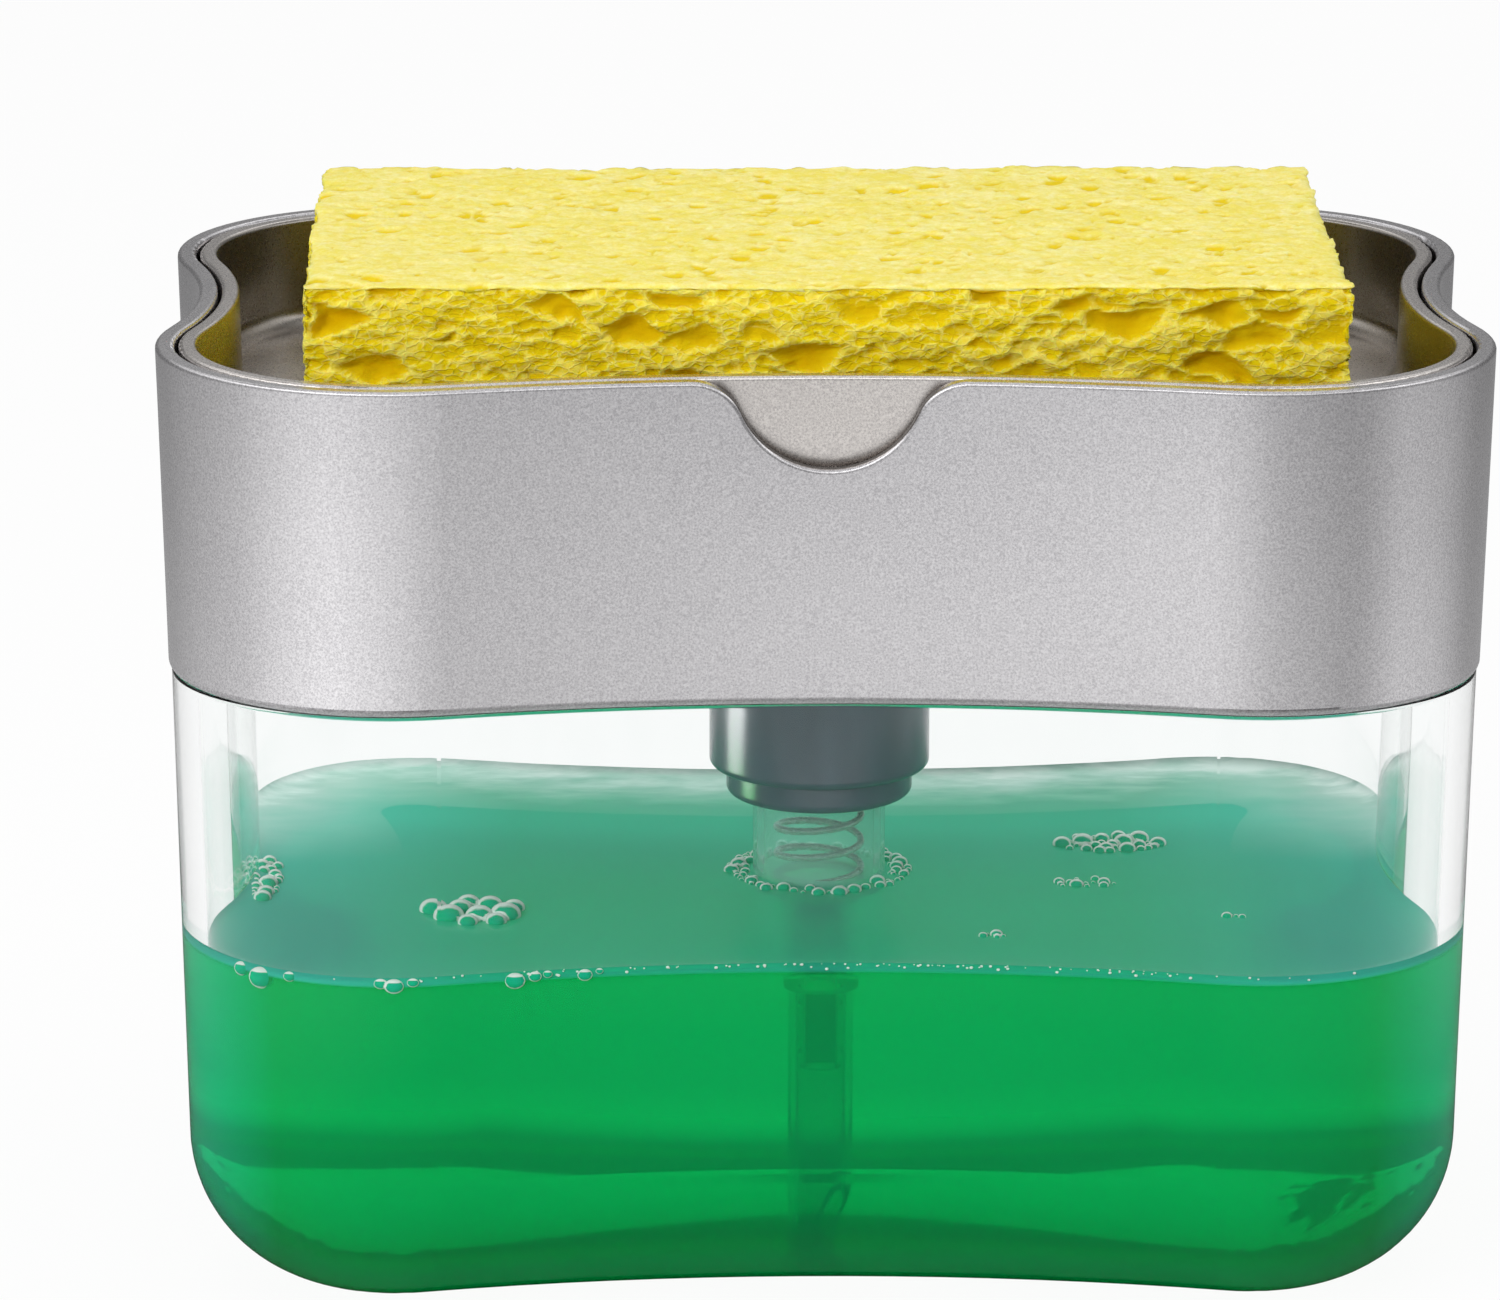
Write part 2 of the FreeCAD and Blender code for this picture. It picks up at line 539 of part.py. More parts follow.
def make_spring():
    quarters = int(round(SPRING_TURNS * 4))
    edges = []
    for quarter in range(quarters):
        first = quarter * SPRING_TURNS / quarters
        last = (quarter + 1) * SPRING_TURNS / quarters
        edges += two_arcs(spring_point(first), spring_direction(first), spring_point(last), spring_direction(last))
    spine = Part.Wire(edges)
    section = Part.Wire(Part.makeCircle(SPRING_WIRE / 2, spring_point(0), spring_direction(0)))
    sweep = Part.BRepOffsetAPI.MakePipeShell(spine)
    sweep.add(section)
    sweep.build()
    sweep.makeSolid()
    spring = sweep.shape()
    report_spring(spine, spring)
    return spring


def report_spring(spine, spring):
    """Print the coil's least gap to itself and its volume beside that of a straight wire."""
    count = int(SPRING_TURNS * 48)
    points = spine.discretize(count)
    spacing = spine.Length / (count - 1)
    apart = int(2 * SPRING_RADIUS / spacing)
    least = min((points[i] - points[j]).Length for i in range(count) for j in range(i + apart, count))
    wire = math.pi * SPRING_WIRE ** 2 / 4 * spine.Length
    print("spring least gap to itself %.3f mm" % (least - SPRING_WIRE))
    print("spring volume %.2f mm3, wire volume %.2f mm3" % (spring.Volume, wire))


def make_ball():
    return Part.makeSphere(BALL_RADIUS, Vector(0, 0, BALL_Z))


def make_dip_tube():
    top = NOZZLE_TOP - SEAT_GAP
    tube = turned((TUBE_BORE, TUBE_BOTTOM), (TUBE_RADIUS, TUBE_BOTTOM), (TUBE_RADIUS, top), (TUBE_BORE, top))
    across = 2 * TUBE_RADIUS
    corners = [Vector(-TUBE_RADIUS, -across, TUBE_BOTTOM), Vector(across, -across, TUBE_BOTTOM + 1.5 * TUBE_SLANT),
               Vector(across, -across, TUBE_BOTTOM)]
    wedge = Part.Face(Part.makePolygon(corners + corners[:1])).extrude(Vector(0, 2 * across, 0))
    return tube.cut(wedge)


PIECES = {
    "tank": make_tank,
    "soap_fill": make_soap,
    "upper_housing": make_upper_housing,
    "sponge_tray": make_tray,
    "sponge": make_sponge,
    "pump_collar": make_collar,
    "neck_gasket": make_gasket,
    "pump_cylinder": make_barrel,
    "stem_guide": make_guide,
    "pump_stem": make_stem,
    "piston_rod": make_rod,
    "piston_seal": make_seal,
    "return_spring": make_spring,
    "inlet_ball": make_ball,
    "dip_tube": make_dip_tube,
}

os.makedirs("parts", exist_ok=True)
for name, make in PIECES.items():
    piece = make()
    sound = piece.isValid() and len(piece.Solids) == 1
    box = piece.BoundBox
    print("%-14s valid %s  solids %d  volume %9.1f  x %.2f %.2f  y %.2f %.2f  z %.2f %.2f" % (
        name, piece.isValid(), len(piece.Solids), piece.Volume,
        box.XMin, box.XMax, box.YMin, box.YMax, box.ZMin, box.ZMax))
    if not sound:
        raise ValueError("%s is not one sound solid" % name)
    piece.exportStep("parts/%s.step" % name)
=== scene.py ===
"""Looks of a sink caddy: satin silver rim and tray, clear tank of green soap, soap pump and porous sponge."""

import json
import math
from itertools import product

import bpy
import numpy as np
from bpy.props import FloatProperty, FloatVectorProperty, IntProperty, PointerProperty
from bpy.types import Operator, Panel, PropertyGroup
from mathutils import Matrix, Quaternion, Vector

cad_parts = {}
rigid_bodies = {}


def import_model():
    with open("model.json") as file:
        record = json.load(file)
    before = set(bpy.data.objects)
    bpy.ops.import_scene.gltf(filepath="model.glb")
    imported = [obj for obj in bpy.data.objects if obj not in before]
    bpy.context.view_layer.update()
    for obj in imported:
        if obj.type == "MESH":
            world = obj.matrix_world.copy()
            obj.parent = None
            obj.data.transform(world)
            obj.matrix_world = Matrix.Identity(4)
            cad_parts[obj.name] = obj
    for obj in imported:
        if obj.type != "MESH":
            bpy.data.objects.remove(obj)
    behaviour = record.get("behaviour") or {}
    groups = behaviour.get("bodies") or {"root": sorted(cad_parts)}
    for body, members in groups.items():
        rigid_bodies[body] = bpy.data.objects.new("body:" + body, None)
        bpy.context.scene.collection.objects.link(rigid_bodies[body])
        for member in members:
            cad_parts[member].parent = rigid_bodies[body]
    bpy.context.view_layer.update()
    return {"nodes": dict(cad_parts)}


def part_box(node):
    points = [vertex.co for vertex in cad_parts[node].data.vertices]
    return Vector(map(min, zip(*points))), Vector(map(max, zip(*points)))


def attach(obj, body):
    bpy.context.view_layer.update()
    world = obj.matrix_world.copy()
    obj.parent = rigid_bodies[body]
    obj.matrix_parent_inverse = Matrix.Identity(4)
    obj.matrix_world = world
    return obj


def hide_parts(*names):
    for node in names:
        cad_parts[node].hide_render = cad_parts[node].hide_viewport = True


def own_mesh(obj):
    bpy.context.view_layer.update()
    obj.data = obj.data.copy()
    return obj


bl_info = {
    "name": "Soap pump caddy",
    "version": (1, 0, 0),
    "blender": (4, 5, 0),
    "location": "View3D > Sidebar > Caddy",
    "description": "Builds the looks of a sink caddy with a soap pump, a tray and a sponge",
    "category": "Object",
}

for spare in list(bpy.data.objects):
    bpy.data.objects.remove(spare)

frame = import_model()

MM = 0.001
BLACK = (0.0, 0.0, 0.0)
WHITE = (1.0, 1.0, 1.0)
RIM_LOW, RIM_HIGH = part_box("upper_housing")
_, SOAP_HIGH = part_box("soap_fill")
SPONGE_LOW, SPONGE_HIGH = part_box("sponge")
SPRING_LOW, SPRING_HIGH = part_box("return_spring")


def shown(red, green, blue):
    """A colour as a screen shows it, from 0 to 255, turned into the linear values that shaders take."""
    linear = []
    for level in (red, green, blue):
        value = level / 255
        linear.append(value / 12.92 if value <= 0.04045 else ((value + 0.055) / 1.055) ** 2.4)
    return tuple(linear)


def opaque(tone):
    return (*tone, 1.0)


def grey(level):
    return (level, level, level)


def length(description, default):
    return FloatProperty(description=description, default=default, unit="LENGTH", precision=5)


def share(description, default):
    return FloatProperty(description=description, default=default, min=0, max=1, subtype="FACTOR")


def number(description, default):
    return FloatProperty(description=description, default=default)


def whole(description, default):
    return IntProperty(description=description, default=default)


def power(description, default):
    return FloatProperty(description=description, default=default, unit="POWER")


def angle(description, default):
    return FloatProperty(description=description, default=math.radians(default), subtype="ANGLE")


def colour(description, default):
    return FloatVectorProperty(description=description, default=default, min=0, max=1, subtype="COLOR")


def place(description, default):
    return FloatVectorProperty(description=description, default=default, subtype="TRANSLATION", precision=5)


class StageSettings(PropertyGroup):
    """Floor, lamps, studio screen and camera."""

    floor_colour: colour("Pale floor under the caddy", (0.86, 0.86, 0.86))
    floor_reach: length("Half the floor's side", 6.0)
    backdrop: share("How far the floor is plain white to the camera", 0.94)
    sky_level: share("Even light from all round", 0.42)
    ceiling_level: share("Upper walls as mirrored and bent rays find them", 0.13)
    overhead_level: share("Ceiling as mirrored and bent rays find it", 0.80)
    lamp_aim: place("Point that every lamp faces", (0.0, 0.0, 0.06))
    top_lamp_place: place("Where the soft lamp overhead hangs", (0.0, -0.1, 1.1))
    top_lamp_size: length("Side of the lamp overhead", 1.0)
    top_lamp_power: power("Power of the lamp overhead", 3.55)
    left_lamp_place: place("Where the soft lamp front left hangs", (-0.65, -0.9, 0.6))
    left_lamp_size: length("Side of the lamp front left", 0.6)
    left_lamp_power: power("Power of the lamp front left", 9.0)
    right_lamp_place: place("Where the soft lamp on the right hangs", (1.0, -0.2, 0.6))
    right_lamp_size: length("Side of the lamp on the right", 0.6)
    right_lamp_power: power("Power of the lamp on the right", 3.0)
    back_lamp_place: place("Where the soap's lamp hangs behind", (0.0, 0.75, 0.52))
    back_lamp_size: length("Side of the soap's lamp", 0.5)
    back_lamp_power: power("Power of the soap's lamp", 9.5)
    collar_strip_place: place("Where the collar's light stands", (-0.149, 0.016, 0.02))
    collar_strip_size: length("Side of the collar's light", 0.024)
    collar_strip_power: power("Power of the collar's light", 0.45)
    screen_radius: length("Radius of the studio screen that the silver mirrors", 0.27)
    screen_height: length("Height of the studio screen", 0.5)
    screen_sides: whole("Flat sides of the round screen", 96)
    screen_lift: length("How far the screen's foot is off the floor", 0.001)
    screen_gain: number("Strength of the screen's light", 4.7)
    lit_from: share("Part of the radius where the mat starts to show the screen's light", 0.46)
    lit_to: share("Part of the radius where it shows it in full", 0.72)
    mat_radius: length("Inner radius of the dark mat at the screen's foot", 0.02)
    mat_level: share("Brightness of the mat round the tank, against the screen's", 0.030)
    mat_from: length("Radius up to which the mat is black", 0.055)
    mat_to: length("Radius from which the mat has its own level", 0.100)
    camera_place: place("Where the camera stands", (-0.02058, -0.88190, 0.29152))
    camera_aim: place("Direction the camera looks in", (0.01435, 0.96774, -0.25153))
    camera_roll: angle("Turn of the camera about its own axis", 0.148)
    camera_lens: number("Focal length in millimetres on a 36 mm wide sensor", 202.56)


class SilverSettings(PropertyGroup):
    """Satin silver of the rim and the tray."""

    light: colour("Brighter flakes of the satin coat", shown(240, 238, 240))
    dark: colour("Darker flakes of the satin coat", shown(182, 180, 183))
    # Painted light: the tray's coat is a lighter, warmer copy of the band's coat
    tray_light: colour("Brighter flakes of the tray's warmer coat", shown(253, 247, 242))
    tray_dark: colour("Darker flakes of the tray's warmer coat", shown(192, 187, 185))
    # Painted shade: the tray's faces that look inwards are darkened towards this tone
    lining: colour("Smoky tone of the tray's inner wall", shown(118, 112, 100))
    # Painted shade: the notch's cut face is darkened towards this tone
    cut: colour("Smoky tone of the notch's cut face", shown(84, 76, 68))
    notch_foot: length("Height of the finger notch's lowest point", 0.0922)
    # Shares of the painted shade on the tray's inner wall and on the notch's cut face
    lining_share: share("How far the tray's inner wall takes the lining's tone", 0.64)
    cut_face_shade_share: share("How far the cut face takes its tone", 0.9)
    flake: length("Size of the coat's flakes", 0.00022)
    cloud: length("Size of faint uneven patches", 0.018)
    cloud_share: share("How much the patches count against the flakes", 0.25)
    roughness: share("How much the coat blurs what it mirrors", 0.28)
    flake_blur: share("How far the flakes vary the roughness", 0.12)
    cloud_blur: share("How far the patches vary the roughness", 0.05)
    foot: length("Height of the rim's foot", 0.0671)
    foot_round: length("Height over which the coat thins at the foot", 0.0009)
    foot_blur: share("Roughness that the thin coat adds", 0.2)
    foot_loss: share("How much of its metal look the thin coat loses", 0.9)


class TankSettings(PropertyGroup):
    """Clear moulded tank."""

    tint: colour("Tint of the clear plastic", (0.985, 0.995, 0.992))
    smear: colour("Tint where the wall is faintly wiped", (0.955, 0.970, 0.965))
    lobe_radius: length("Radius of the four corner lobes, seen from above", 0.0246)
    front_recess: length("How far the long sides curve in", 0.0053)
    side_recess: length("How far the short sides curve in", 0.0034)
    wall: length("Thickness of wall and floor", 0.0026)
    top_inset: length("How far the tank's top edge stands in from the rim", 0.001264)
    draft: angle("Slope of the walls", 1.35)
    shoulder: length("Height of the shoulder that the rim sits on", 0.0671)
    base_round: length("Radius of the round inside the base", 0.0137)


class SoapSettings(PropertyGroup):
    """Green soap and its froth."""

    green: colour("Colour of the soap", (0.0, 0.60, 0.165))
    deep_green: colour("Slightly deeper swirls in the soap", (0.0, 0.56, 0.15))
    low_green: colour("Soap low in the tank", (0.0, 0.44, 0.11))
    # Painted light: the soap in the round of the base is brightened to this green
    base_painted_light: colour("Thin soap in the round of the base", (0.0, 0.70, 0.16))
    base_painted_light_height: length("Height up to which the base's colour is full", 0.003)
    low_height: length("Height at which the low colour is full", 0.008)
    main_height: length("Height from which the main colour is full", 0.020)
    # Painted reflection: the soap's top takes this teal in place of what its surface mirrors; the bubbles'
    # skins mix it in too
    teal: colour("Soap at the surface", (0.015, 0.48, 0.34))
    surface_from: length("Depth at which the surface's colour starts", 0.0004)
    surface_to: length("Depth at which the surface's colour is full", 0.0001)
    end_teal: colour("Thin soap at the ends", (0.02, 0.78, 0.50))
    end_width: length("Width of the thin ends", 0.008)
    # Painted reflection: a diffuse veil over the soap's surface, covering more near the ends
    veil: colour("Cloudy skin of the soap's surface", (0.055, 0.56, 0.435))
    painted_reflection_share: share("How far the skin covers the surface", 0.30)
    corner_share: share("How much more it covers near the ends", 0.40)
    corner_from: length("Distance from the middle where it starts to cover more", 0.033)
    corner_to: length("Distance from the middle where it covers most", 0.052)
    # Partly wet film and partly painted light: the surface turns paler towards the back wall
    film: colour("Pale film that gathers at the back wall", (0.80, 0.93, 0.89))
    film_share: share("How far the film covers the soap where it is thickest", 0.95)
    gleam: colour("Tint of what the soap mirrors", (0.12, 0.85, 0.62))
    clearness: share("How much light passes, against what the cloudy soap scatters", 0.70)
    stain: colour("Light that the depth of the soap lets through", (0.1, 0.85, 0.62))
    strength: number("How quickly the soap takes up light, per metre", 30.0)
    climb: length("How far the soap climbs the wall", 0.0007)
    climb_width: length("Width of the climbing edge", 0.0009)
    film_reach: length("How far the pale film reaches in from the back wall", 0.015)
    film_back: length("Distance behind the middle from which the film is full", 0.03)
    bite: length("How far the soap reaches into the wall, so that no air shows between", 0.0010)
    haze: share("How much the soap's film-covered surface blurs", 0.12)
    # Painted reflection and highlight: this white colours the bubbles' rims, the lines where they meet and
    # the tops of those at the wall
    froth: colour("White rims of the bubbles and the lines where they meet", shown(232, 244, 236))
    bubble: colour("Thin green skin of each bubble", (0.0, 0.62, 0.24))
    bubble_share: share("How far the skin hides what lies behind it", 0.8)
    seed: whole("Start of the froth's scatter", 4)


class SpongeSettings(PropertyGroup):
    """Porous cellulose sponge."""

    skin: colour("Pale dry skin on top", shown(241, 223, 98))
    bright: colour("Palest patches of the skin", shown(249, 238, 158))
    # Painted shade: the skin's dents take this darker colour
    fleck: colour("Small dents in the skin", shown(230, 200, 34))
    ridge: colour("Thin walls between the pores of the cut sides", shown(243, 227, 104))
    cut: colour("Shallow pores of the cut sides", shown(232, 206, 16))
    # Painted shade: the pores darken towards this colour with their depth
    pit: colour("Deep inside the pores", shown(214, 172, 0))
    step_along: length("Mesh step along the sponge", 0.00042)
    step_across: length("Mesh step across the sponge", 0.00070)
    step_up: length("Mesh step up the sponge", 0.00028)
    edge: length("Radius of the cut edges", 0.0007)
    wander: length("How far the cut faces wander", 0.00028)
    wear: length("Depth of the nicks along the top and bottom edges", 0.0008)
    wear_width: length("Width of the worn strip along those edges", 0.0011)
    deepest: length("Depth of the deepest pore", 0.0040)
    rough: length("Depth of the finest roughness", 0.00012)
    seed: whole("Start of the pores' scatter", 11)


class PumpSettings(PropertyGroup):
    """Parts of the soap pump."""

    slate: colour("Slate grey plastic of the collar", shown(93, 110, 123))
    slate_dark: colour("Darker mottle of the collar", shown(84, 100, 111))
    barrel: colour("Milky barrel above the soap", (0.75, 1.0, 0.94))
    tube: colour("Clear dip tube in the soap", (0.60, 0.74, 0.66))
    white: colour("Stem, rod and guide", shown(236, 235, 230))
    white_shade: colour("Flow marks in the white plastic", shown(222, 221, 214))
    rubber: colour("Seal and gasket", shown(58, 58, 60))
    rubber_dust: colour("Pale bloom on the rubber", shown(92, 92, 92))
    steel: colour("Spring and valve ball", shown(212, 205, 196))
    steel_line: colour("Drawing lines along the wire", shown(168, 158, 146))
    wire: length("Thickness of the spring's wire", 0.0008)
    coil_radius: length("Radius of the spring at the wire's middle", 0.0046)
    turns: number("Turns of the spring", 6.5)
    end_pitch: length("Rise of the closed end turns", 0.0014)
    stroke: length("How far the pump is pressed", 0.011)


SETTINGS = {
    "caddy_stage": StageSettings,
    "caddy_silver": SilverSettings,
    "caddy_tank": TankSettings,
    "caddy_soap": SoapSettings,
    "caddy_sponge": SpongeSettings,
    "caddy_pump": PumpSettings,
}


class Signal:
    """A shader output that takes part in sums written in Python."""

    def __init__(self, recipe, socket):
        self.recipe = recipe
        self.socket = socket

    def maths(self, operation, *terms):
        return self.recipe.node("ShaderNodeMath", {"operation": operation}, dict(enumerate(terms)))

    def __add__(self, other):
        return self.maths("ADD", self, other)

    def __radd__(self, other):
        return self.maths("ADD", other, self)

    def __sub__(self, other):
        return self.maths("SUBTRACT", self, other)

    def __rsub__(self, other):
        return self.maths("SUBTRACT", other, self)

    def __mul__(self, other):
        return self.maths("MULTIPLY", self, other)

    def __rmul__(self, other):
        return self.maths("MULTIPLY", other, self)

    def __truediv__(self, other):
        return self.maths("DIVIDE", self, other)

    def __pow__(self, other):
        return self.maths("POWER", self, other)


class Recipe:
    """A node tree that Python expressions fill in."""

    def __init__(self, tree):
        self.tree = tree
        self.tree.nodes.clear()

    def node(self, kind, settings=None, sockets=None, output=0):
        """Adds a node, its settings first and then its sockets, and gives one of its outputs."""
        made = self.tree.nodes.new(kind)
        for name, value in (settings or {}).items():
            if name == "stops":
                self.set_stops(made.color_ramp, value)
            else:
                setattr(made, name, value)
        for name, value in (sockets or {}).items():
            socket = made.inputs[name]
            if isinstance(value, Signal):
                self.tree.links.new(value.socket, socket)
            else:
                socket.default_value = opaque(value) if socket.type == "RGBA" else value
        return Signal(self, made.outputs[output]) if made.outputs else None

    def set_stops(self, ramp, stops):
        """Gives a ramp its (position, colour) stops."""
        while len(ramp.elements) < len(stops):
            ramp.elements.new(1.0)
        for element, (position, value) in zip(ramp.elements, stops):
            element.position = position
            element.color = opaque(value)

    def mix(self, amount, first, second):
        """A colour that goes from first to second."""
        return self.node(
            "ShaderNodeMix", {"data_type": "RGBA"}, {0: amount, 6: first, 7: second}, output=2
        )

    def blend(self, amount, first, second):
        """A shader that goes from first to second."""
        return self.node("ShaderNodeMixShader", None, {0: amount, 1: first, 2: second})

    def spot(self):
        return self.node("ShaderNodeTexCoord", output="Object")

    def axes(self, vector):
        """The three parts of a place."""
        return [self.node("ShaderNodeSeparateXYZ", None, {"Vector": vector}, output=axis) for axis in "XYZ"]

    def noise(self, vector, size, detail=2.0, roughness=0.5):
        """Cloudy noise from 0 to 1 with swells of about a size in metres."""
        sockets = {"Vector": vector, "Scale": 1 / size, "Detail": detail, "Roughness": roughness}
        return self.node("ShaderNodeTexNoise", None, sockets)

    def vectors(self, operation, first, second):
        return self.node("ShaderNodeVectorMath", {"operation": operation}, {0: first, 1: second})

    def stretched(self, vector, factors):
        """The place scaled along each axis, for grain that runs one way."""
        return self.vectors("MULTIPLY", vector, factors)

    def mark(self, name):
        """A value that the mesh carries at its points."""
        return self.node("ShaderNodeAttribute", {"attribute_name": name}, output="Fac")

    def bent(self, vector, size, reach):
        """The place pushed about by noise with swells of a size, by up to half a reach."""
        sockets = {"Vector": vector, "Scale": 1 / size}
        push = self.node("ShaderNodeTexNoise", None, sockets, output="Color")
        centred = self.vectors("SUBTRACT", push, (0.5, 0.5, 0.5))
        return self.vectors("ADD", vector, self.vectors("MULTIPLY", centred, (reach, reach, reach)))

    def walls(self, vector, size):
        """Distance to the nearest wall between cells of a size in metres, in cell sizes."""
        sockets = {"Vector": vector, "Scale": 1 / size}
        return self.node("ShaderNodeTexVoronoi", {"feature": "DISTANCE_TO_EDGE"}, sockets)

    def spread(self, value, low, high):
        """The value's span from low to high stretched to 0 to 1 and held there."""
        return self.node("ShaderNodeMapRange", None, {"Value": value, "From Min": low, "From Max": high})

    def bump(self, height, strength, depth):
        return self.node("ShaderNodeBump", None, {"Strength": strength, "Distance": depth, "Height": height})

    def principled(self, sockets):
        return self.node("ShaderNodeBsdfPrincipled", None, sockets)

    def lets_lamps_through(self, body, tint):
        """The body to every ray but those that reach for a lamp, which pass with a tint."""
        clear = self.node("ShaderNodeBsdfTransparent", None, {"Color": tint})
        lamp = self.node("ShaderNodeLightPath", output="Is Shadow Ray")
        return self.blend(lamp, body, clear)

    def output(self, surface, volume=None, kind="ShaderNodeOutputMaterial"):
        sockets = {"Surface": surface}
        if volume is not None:
            sockets["Volume"] = volume
        self.node(kind, None, sockets)


def new_finish(name):
    """An empty material and the recipe that fills it."""
    finish = bpy.data.materials.new(name)
    finish.use_nodes = True
    return finish, Recipe(finish.node_tree)


def paint(node_name, finish):
    """Gives a carried-over part its finish."""
    part = frame["nodes"][node_name]
    part.data.materials.clear()
    part.data.materials.append(finish)


def new_piece(name, points, faces, finish, body):
    """A smooth mesh object that rides on a body."""
    mesh = bpy.data.meshes.new(name)
    mesh.from_pydata([tuple(point) for point in points], [], [tuple(face) for face in faces])
    mesh.polygons.foreach_set("use_smooth", [True] * len(mesh.polygons))
    mesh.materials.append(finish)
    mesh.update()
    piece = bpy.data.objects.new(name, mesh)
    bpy.context.scene.collection.objects.link(piece)
    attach(piece, body)
    return piece


def carry(piece, name, values):
    """Marks each point of a piece with a value that its finish reads."""
    mark = piece.data.attributes.new(name, "FLOAT", "POINT")
    mark.data.foreach_set("value", values.astype(np.float32))


# Large odd numbers and shifts that stir a lattice corner into what looks like chance
AXIS_STIRS = (374761393, 668265263, 1440662683)
SEED_STIR = 974634961
LAST_STIR = 1274126177
FIRST_SHIFT = 13
LAST_SHIFT = 16
LARGEST_WORD = 0xFFFFFFFF


def chance_at(corner, seed):
    """A number from 0 to 1 that belongs to each lattice corner and looks like chance."""
    mixed = (corner @ np.array(AXIS_STIRS) + seed * SEED_STIR) & LARGEST_WORD
    mixed = ((mixed ^ (mixed >> FIRST_SHIFT)) * LAST_STIR) & LARGEST_WORD
    return (mixed ^ (mixed >> LAST_SHIFT)) / LARGEST_WORD


def lattice_noise(points, swell, seed, weight=1.0):
    """Smooth noise of up to a weight either way at each point, with a swell about every so many metres."""
    scaled = points / swell
    corner = np.floor(scaled).astype(np.int64)
    part = scaled - corner
    ease = part * part * (3 - 2 * part)
    total = np.zeros(len(points))
    for step in product((0, 1), repeat=3):
        nearness = np.prod(np.where(np.array(step) == 1, ease, 1 - ease), axis=1)
        total += nearness * (2 * chance_at(corner + np.array(step), seed) - 1)
    return weight * total


# Heights from the notch's foot and from the rim's top between which the cut face's painted shade fades in
NOTCH_FADE = {"low": -0.0006, "high": -0.0002}
RIM_FADE = {"low": -0.0004, "high": -0.0011}


def silver_finish(settings, name, dark, light, lining, cut):
    """Satin silver with painted shade by two shares: darker on faces that look inwards and on the notch's cut
    face.
    """
    finish, recipe = new_finish(name)
    spot = recipe.spot()
    flake = recipe.noise(spot, settings.flake, detail=3.0, roughness=0.7)
    glint = recipe.spread(flake, low=0.36, high=0.64)
    cloud = recipe.noise(spot, settings.cloud, detail=3.0)
    brightness = glint * (1 - settings.cloud_share) + cloud * settings.cloud_share
    tone = recipe.mix(brightness, dark, light)
    across, along, height = recipe.axes(spot)
    facing = recipe.axes(recipe.node("ShaderNodeTexCoord", output="Normal"))
    reach = (across * across + along * along) ** 0.5
    outward = (across * facing[0] + along * facing[1]) / reach
    # Painted shade: faces that look inwards take the darker inner wall tone by a share
    inward = recipe.spread(outward, low=-0.15, high=-0.6)
    tone = recipe.mix(inward * lining, tone, settings.lining)
    # Painted shade: the notch's cut face takes a darker tone by a share
    in_notch = recipe.spread(height - settings.notch_foot, **NOTCH_FADE)
    below_rim = recipe.spread(height - RIM_HIGH.z, **RIM_FADE)
    cut_face_shade = recipe.spread(outward, low=0.45, high=0.20) * in_notch * below_rim
    tone = recipe.mix(cut_face_shade * cut, tone, settings.cut)
    worn = 1 - recipe.spread(height, settings.foot, settings.foot + settings.foot_round)
    uneven = (flake - 0.5) * settings.flake_blur + (cloud - 0.5) * settings.cloud_blur
    recipe.output(
        recipe.principled(
            {
                "Base Color": tone,
                "Metallic": 1 - worn * settings.foot_loss,
                "Roughness": settings.roughness + uneven + worn * settings.foot_blur,
                "Normal": recipe.bump(flake, strength=0.10, depth=0.00002),
            }
        )
    )
    return finish


# Tint of what clear plastic mirrors, and the roughness that wiping marks add to it
CLEAR_GLEAM = (0.35, 0.38, 0.37)
WIPE_BLUR = 0.02


def clear_finish(name, tint, smear, refraction, gloss, clearness=1.0):
    """Clear or milky plastic with faint wiping marks."""
    finish, recipe = new_finish(name)
    upright = recipe.stretched(recipe.spot(), (1.0, 1.0, 0.25))
    wipe = recipe.noise(upright, size=0.009, detail=5.0, roughness=0.6)
    marks = recipe.spread(wipe, low=0.52, high=0.78)
    body = recipe.principled(
        {
            "Base Color": recipe.mix(marks, tint, smear),
            "Roughness": gloss + marks * WIPE_BLUR,
            "IOR": refraction,
            "Specular Tint": CLEAR_GLEAM,
            "Transmission Weight": clearness,
        }
    )
    recipe.output(recipe.lets_lamps_through(body, tint))
    return finish


def moulded_finish(name, main, shade, gloss, grain):
    """Coloured moulded plastic with faint flow marks and a fine grain."""
    finish, recipe = new_finish(name)
    spot = recipe.spot()
    flow = recipe.noise(recipe.stretched(spot, (1.0, 1.0, 0.3)), size=0.004, detail=4.0)
    fine = recipe.noise(spot, grain, detail=2.0)
    recipe.output(
        recipe.principled(
            {
                "Base Color": recipe.mix(recipe.spread(flow, low=0.35, high=0.7), main, shade),
                "Roughness": gloss + (fine - 0.5) * 0.10,
                "Normal": recipe.bump(fine, strength=0.06, depth=0.00003),
            }
        )
    )
    return finish


def steel_finish(settings):
    """Bright wire with drawing lines."""
    finish, recipe = new_finish("spring_steel")
    lines = recipe.noise(recipe.stretched(recipe.spot(), (1.0, 1.0, 5.0)), size=0.0009, detail=3.0)
    drawn = recipe.spread(lines, low=0.35, high=0.65)
    recipe.output(
        recipe.principled(
            {
                "Base Color": recipe.mix(drawn, settings.steel, settings.steel_line),
                "Metallic": 1.0,
                "Roughness": 0.2 + lines * 0.16,
                "Normal": recipe.bump(lines, strength=0.2, depth=0.00003),
            }
        )
    )
    return finish


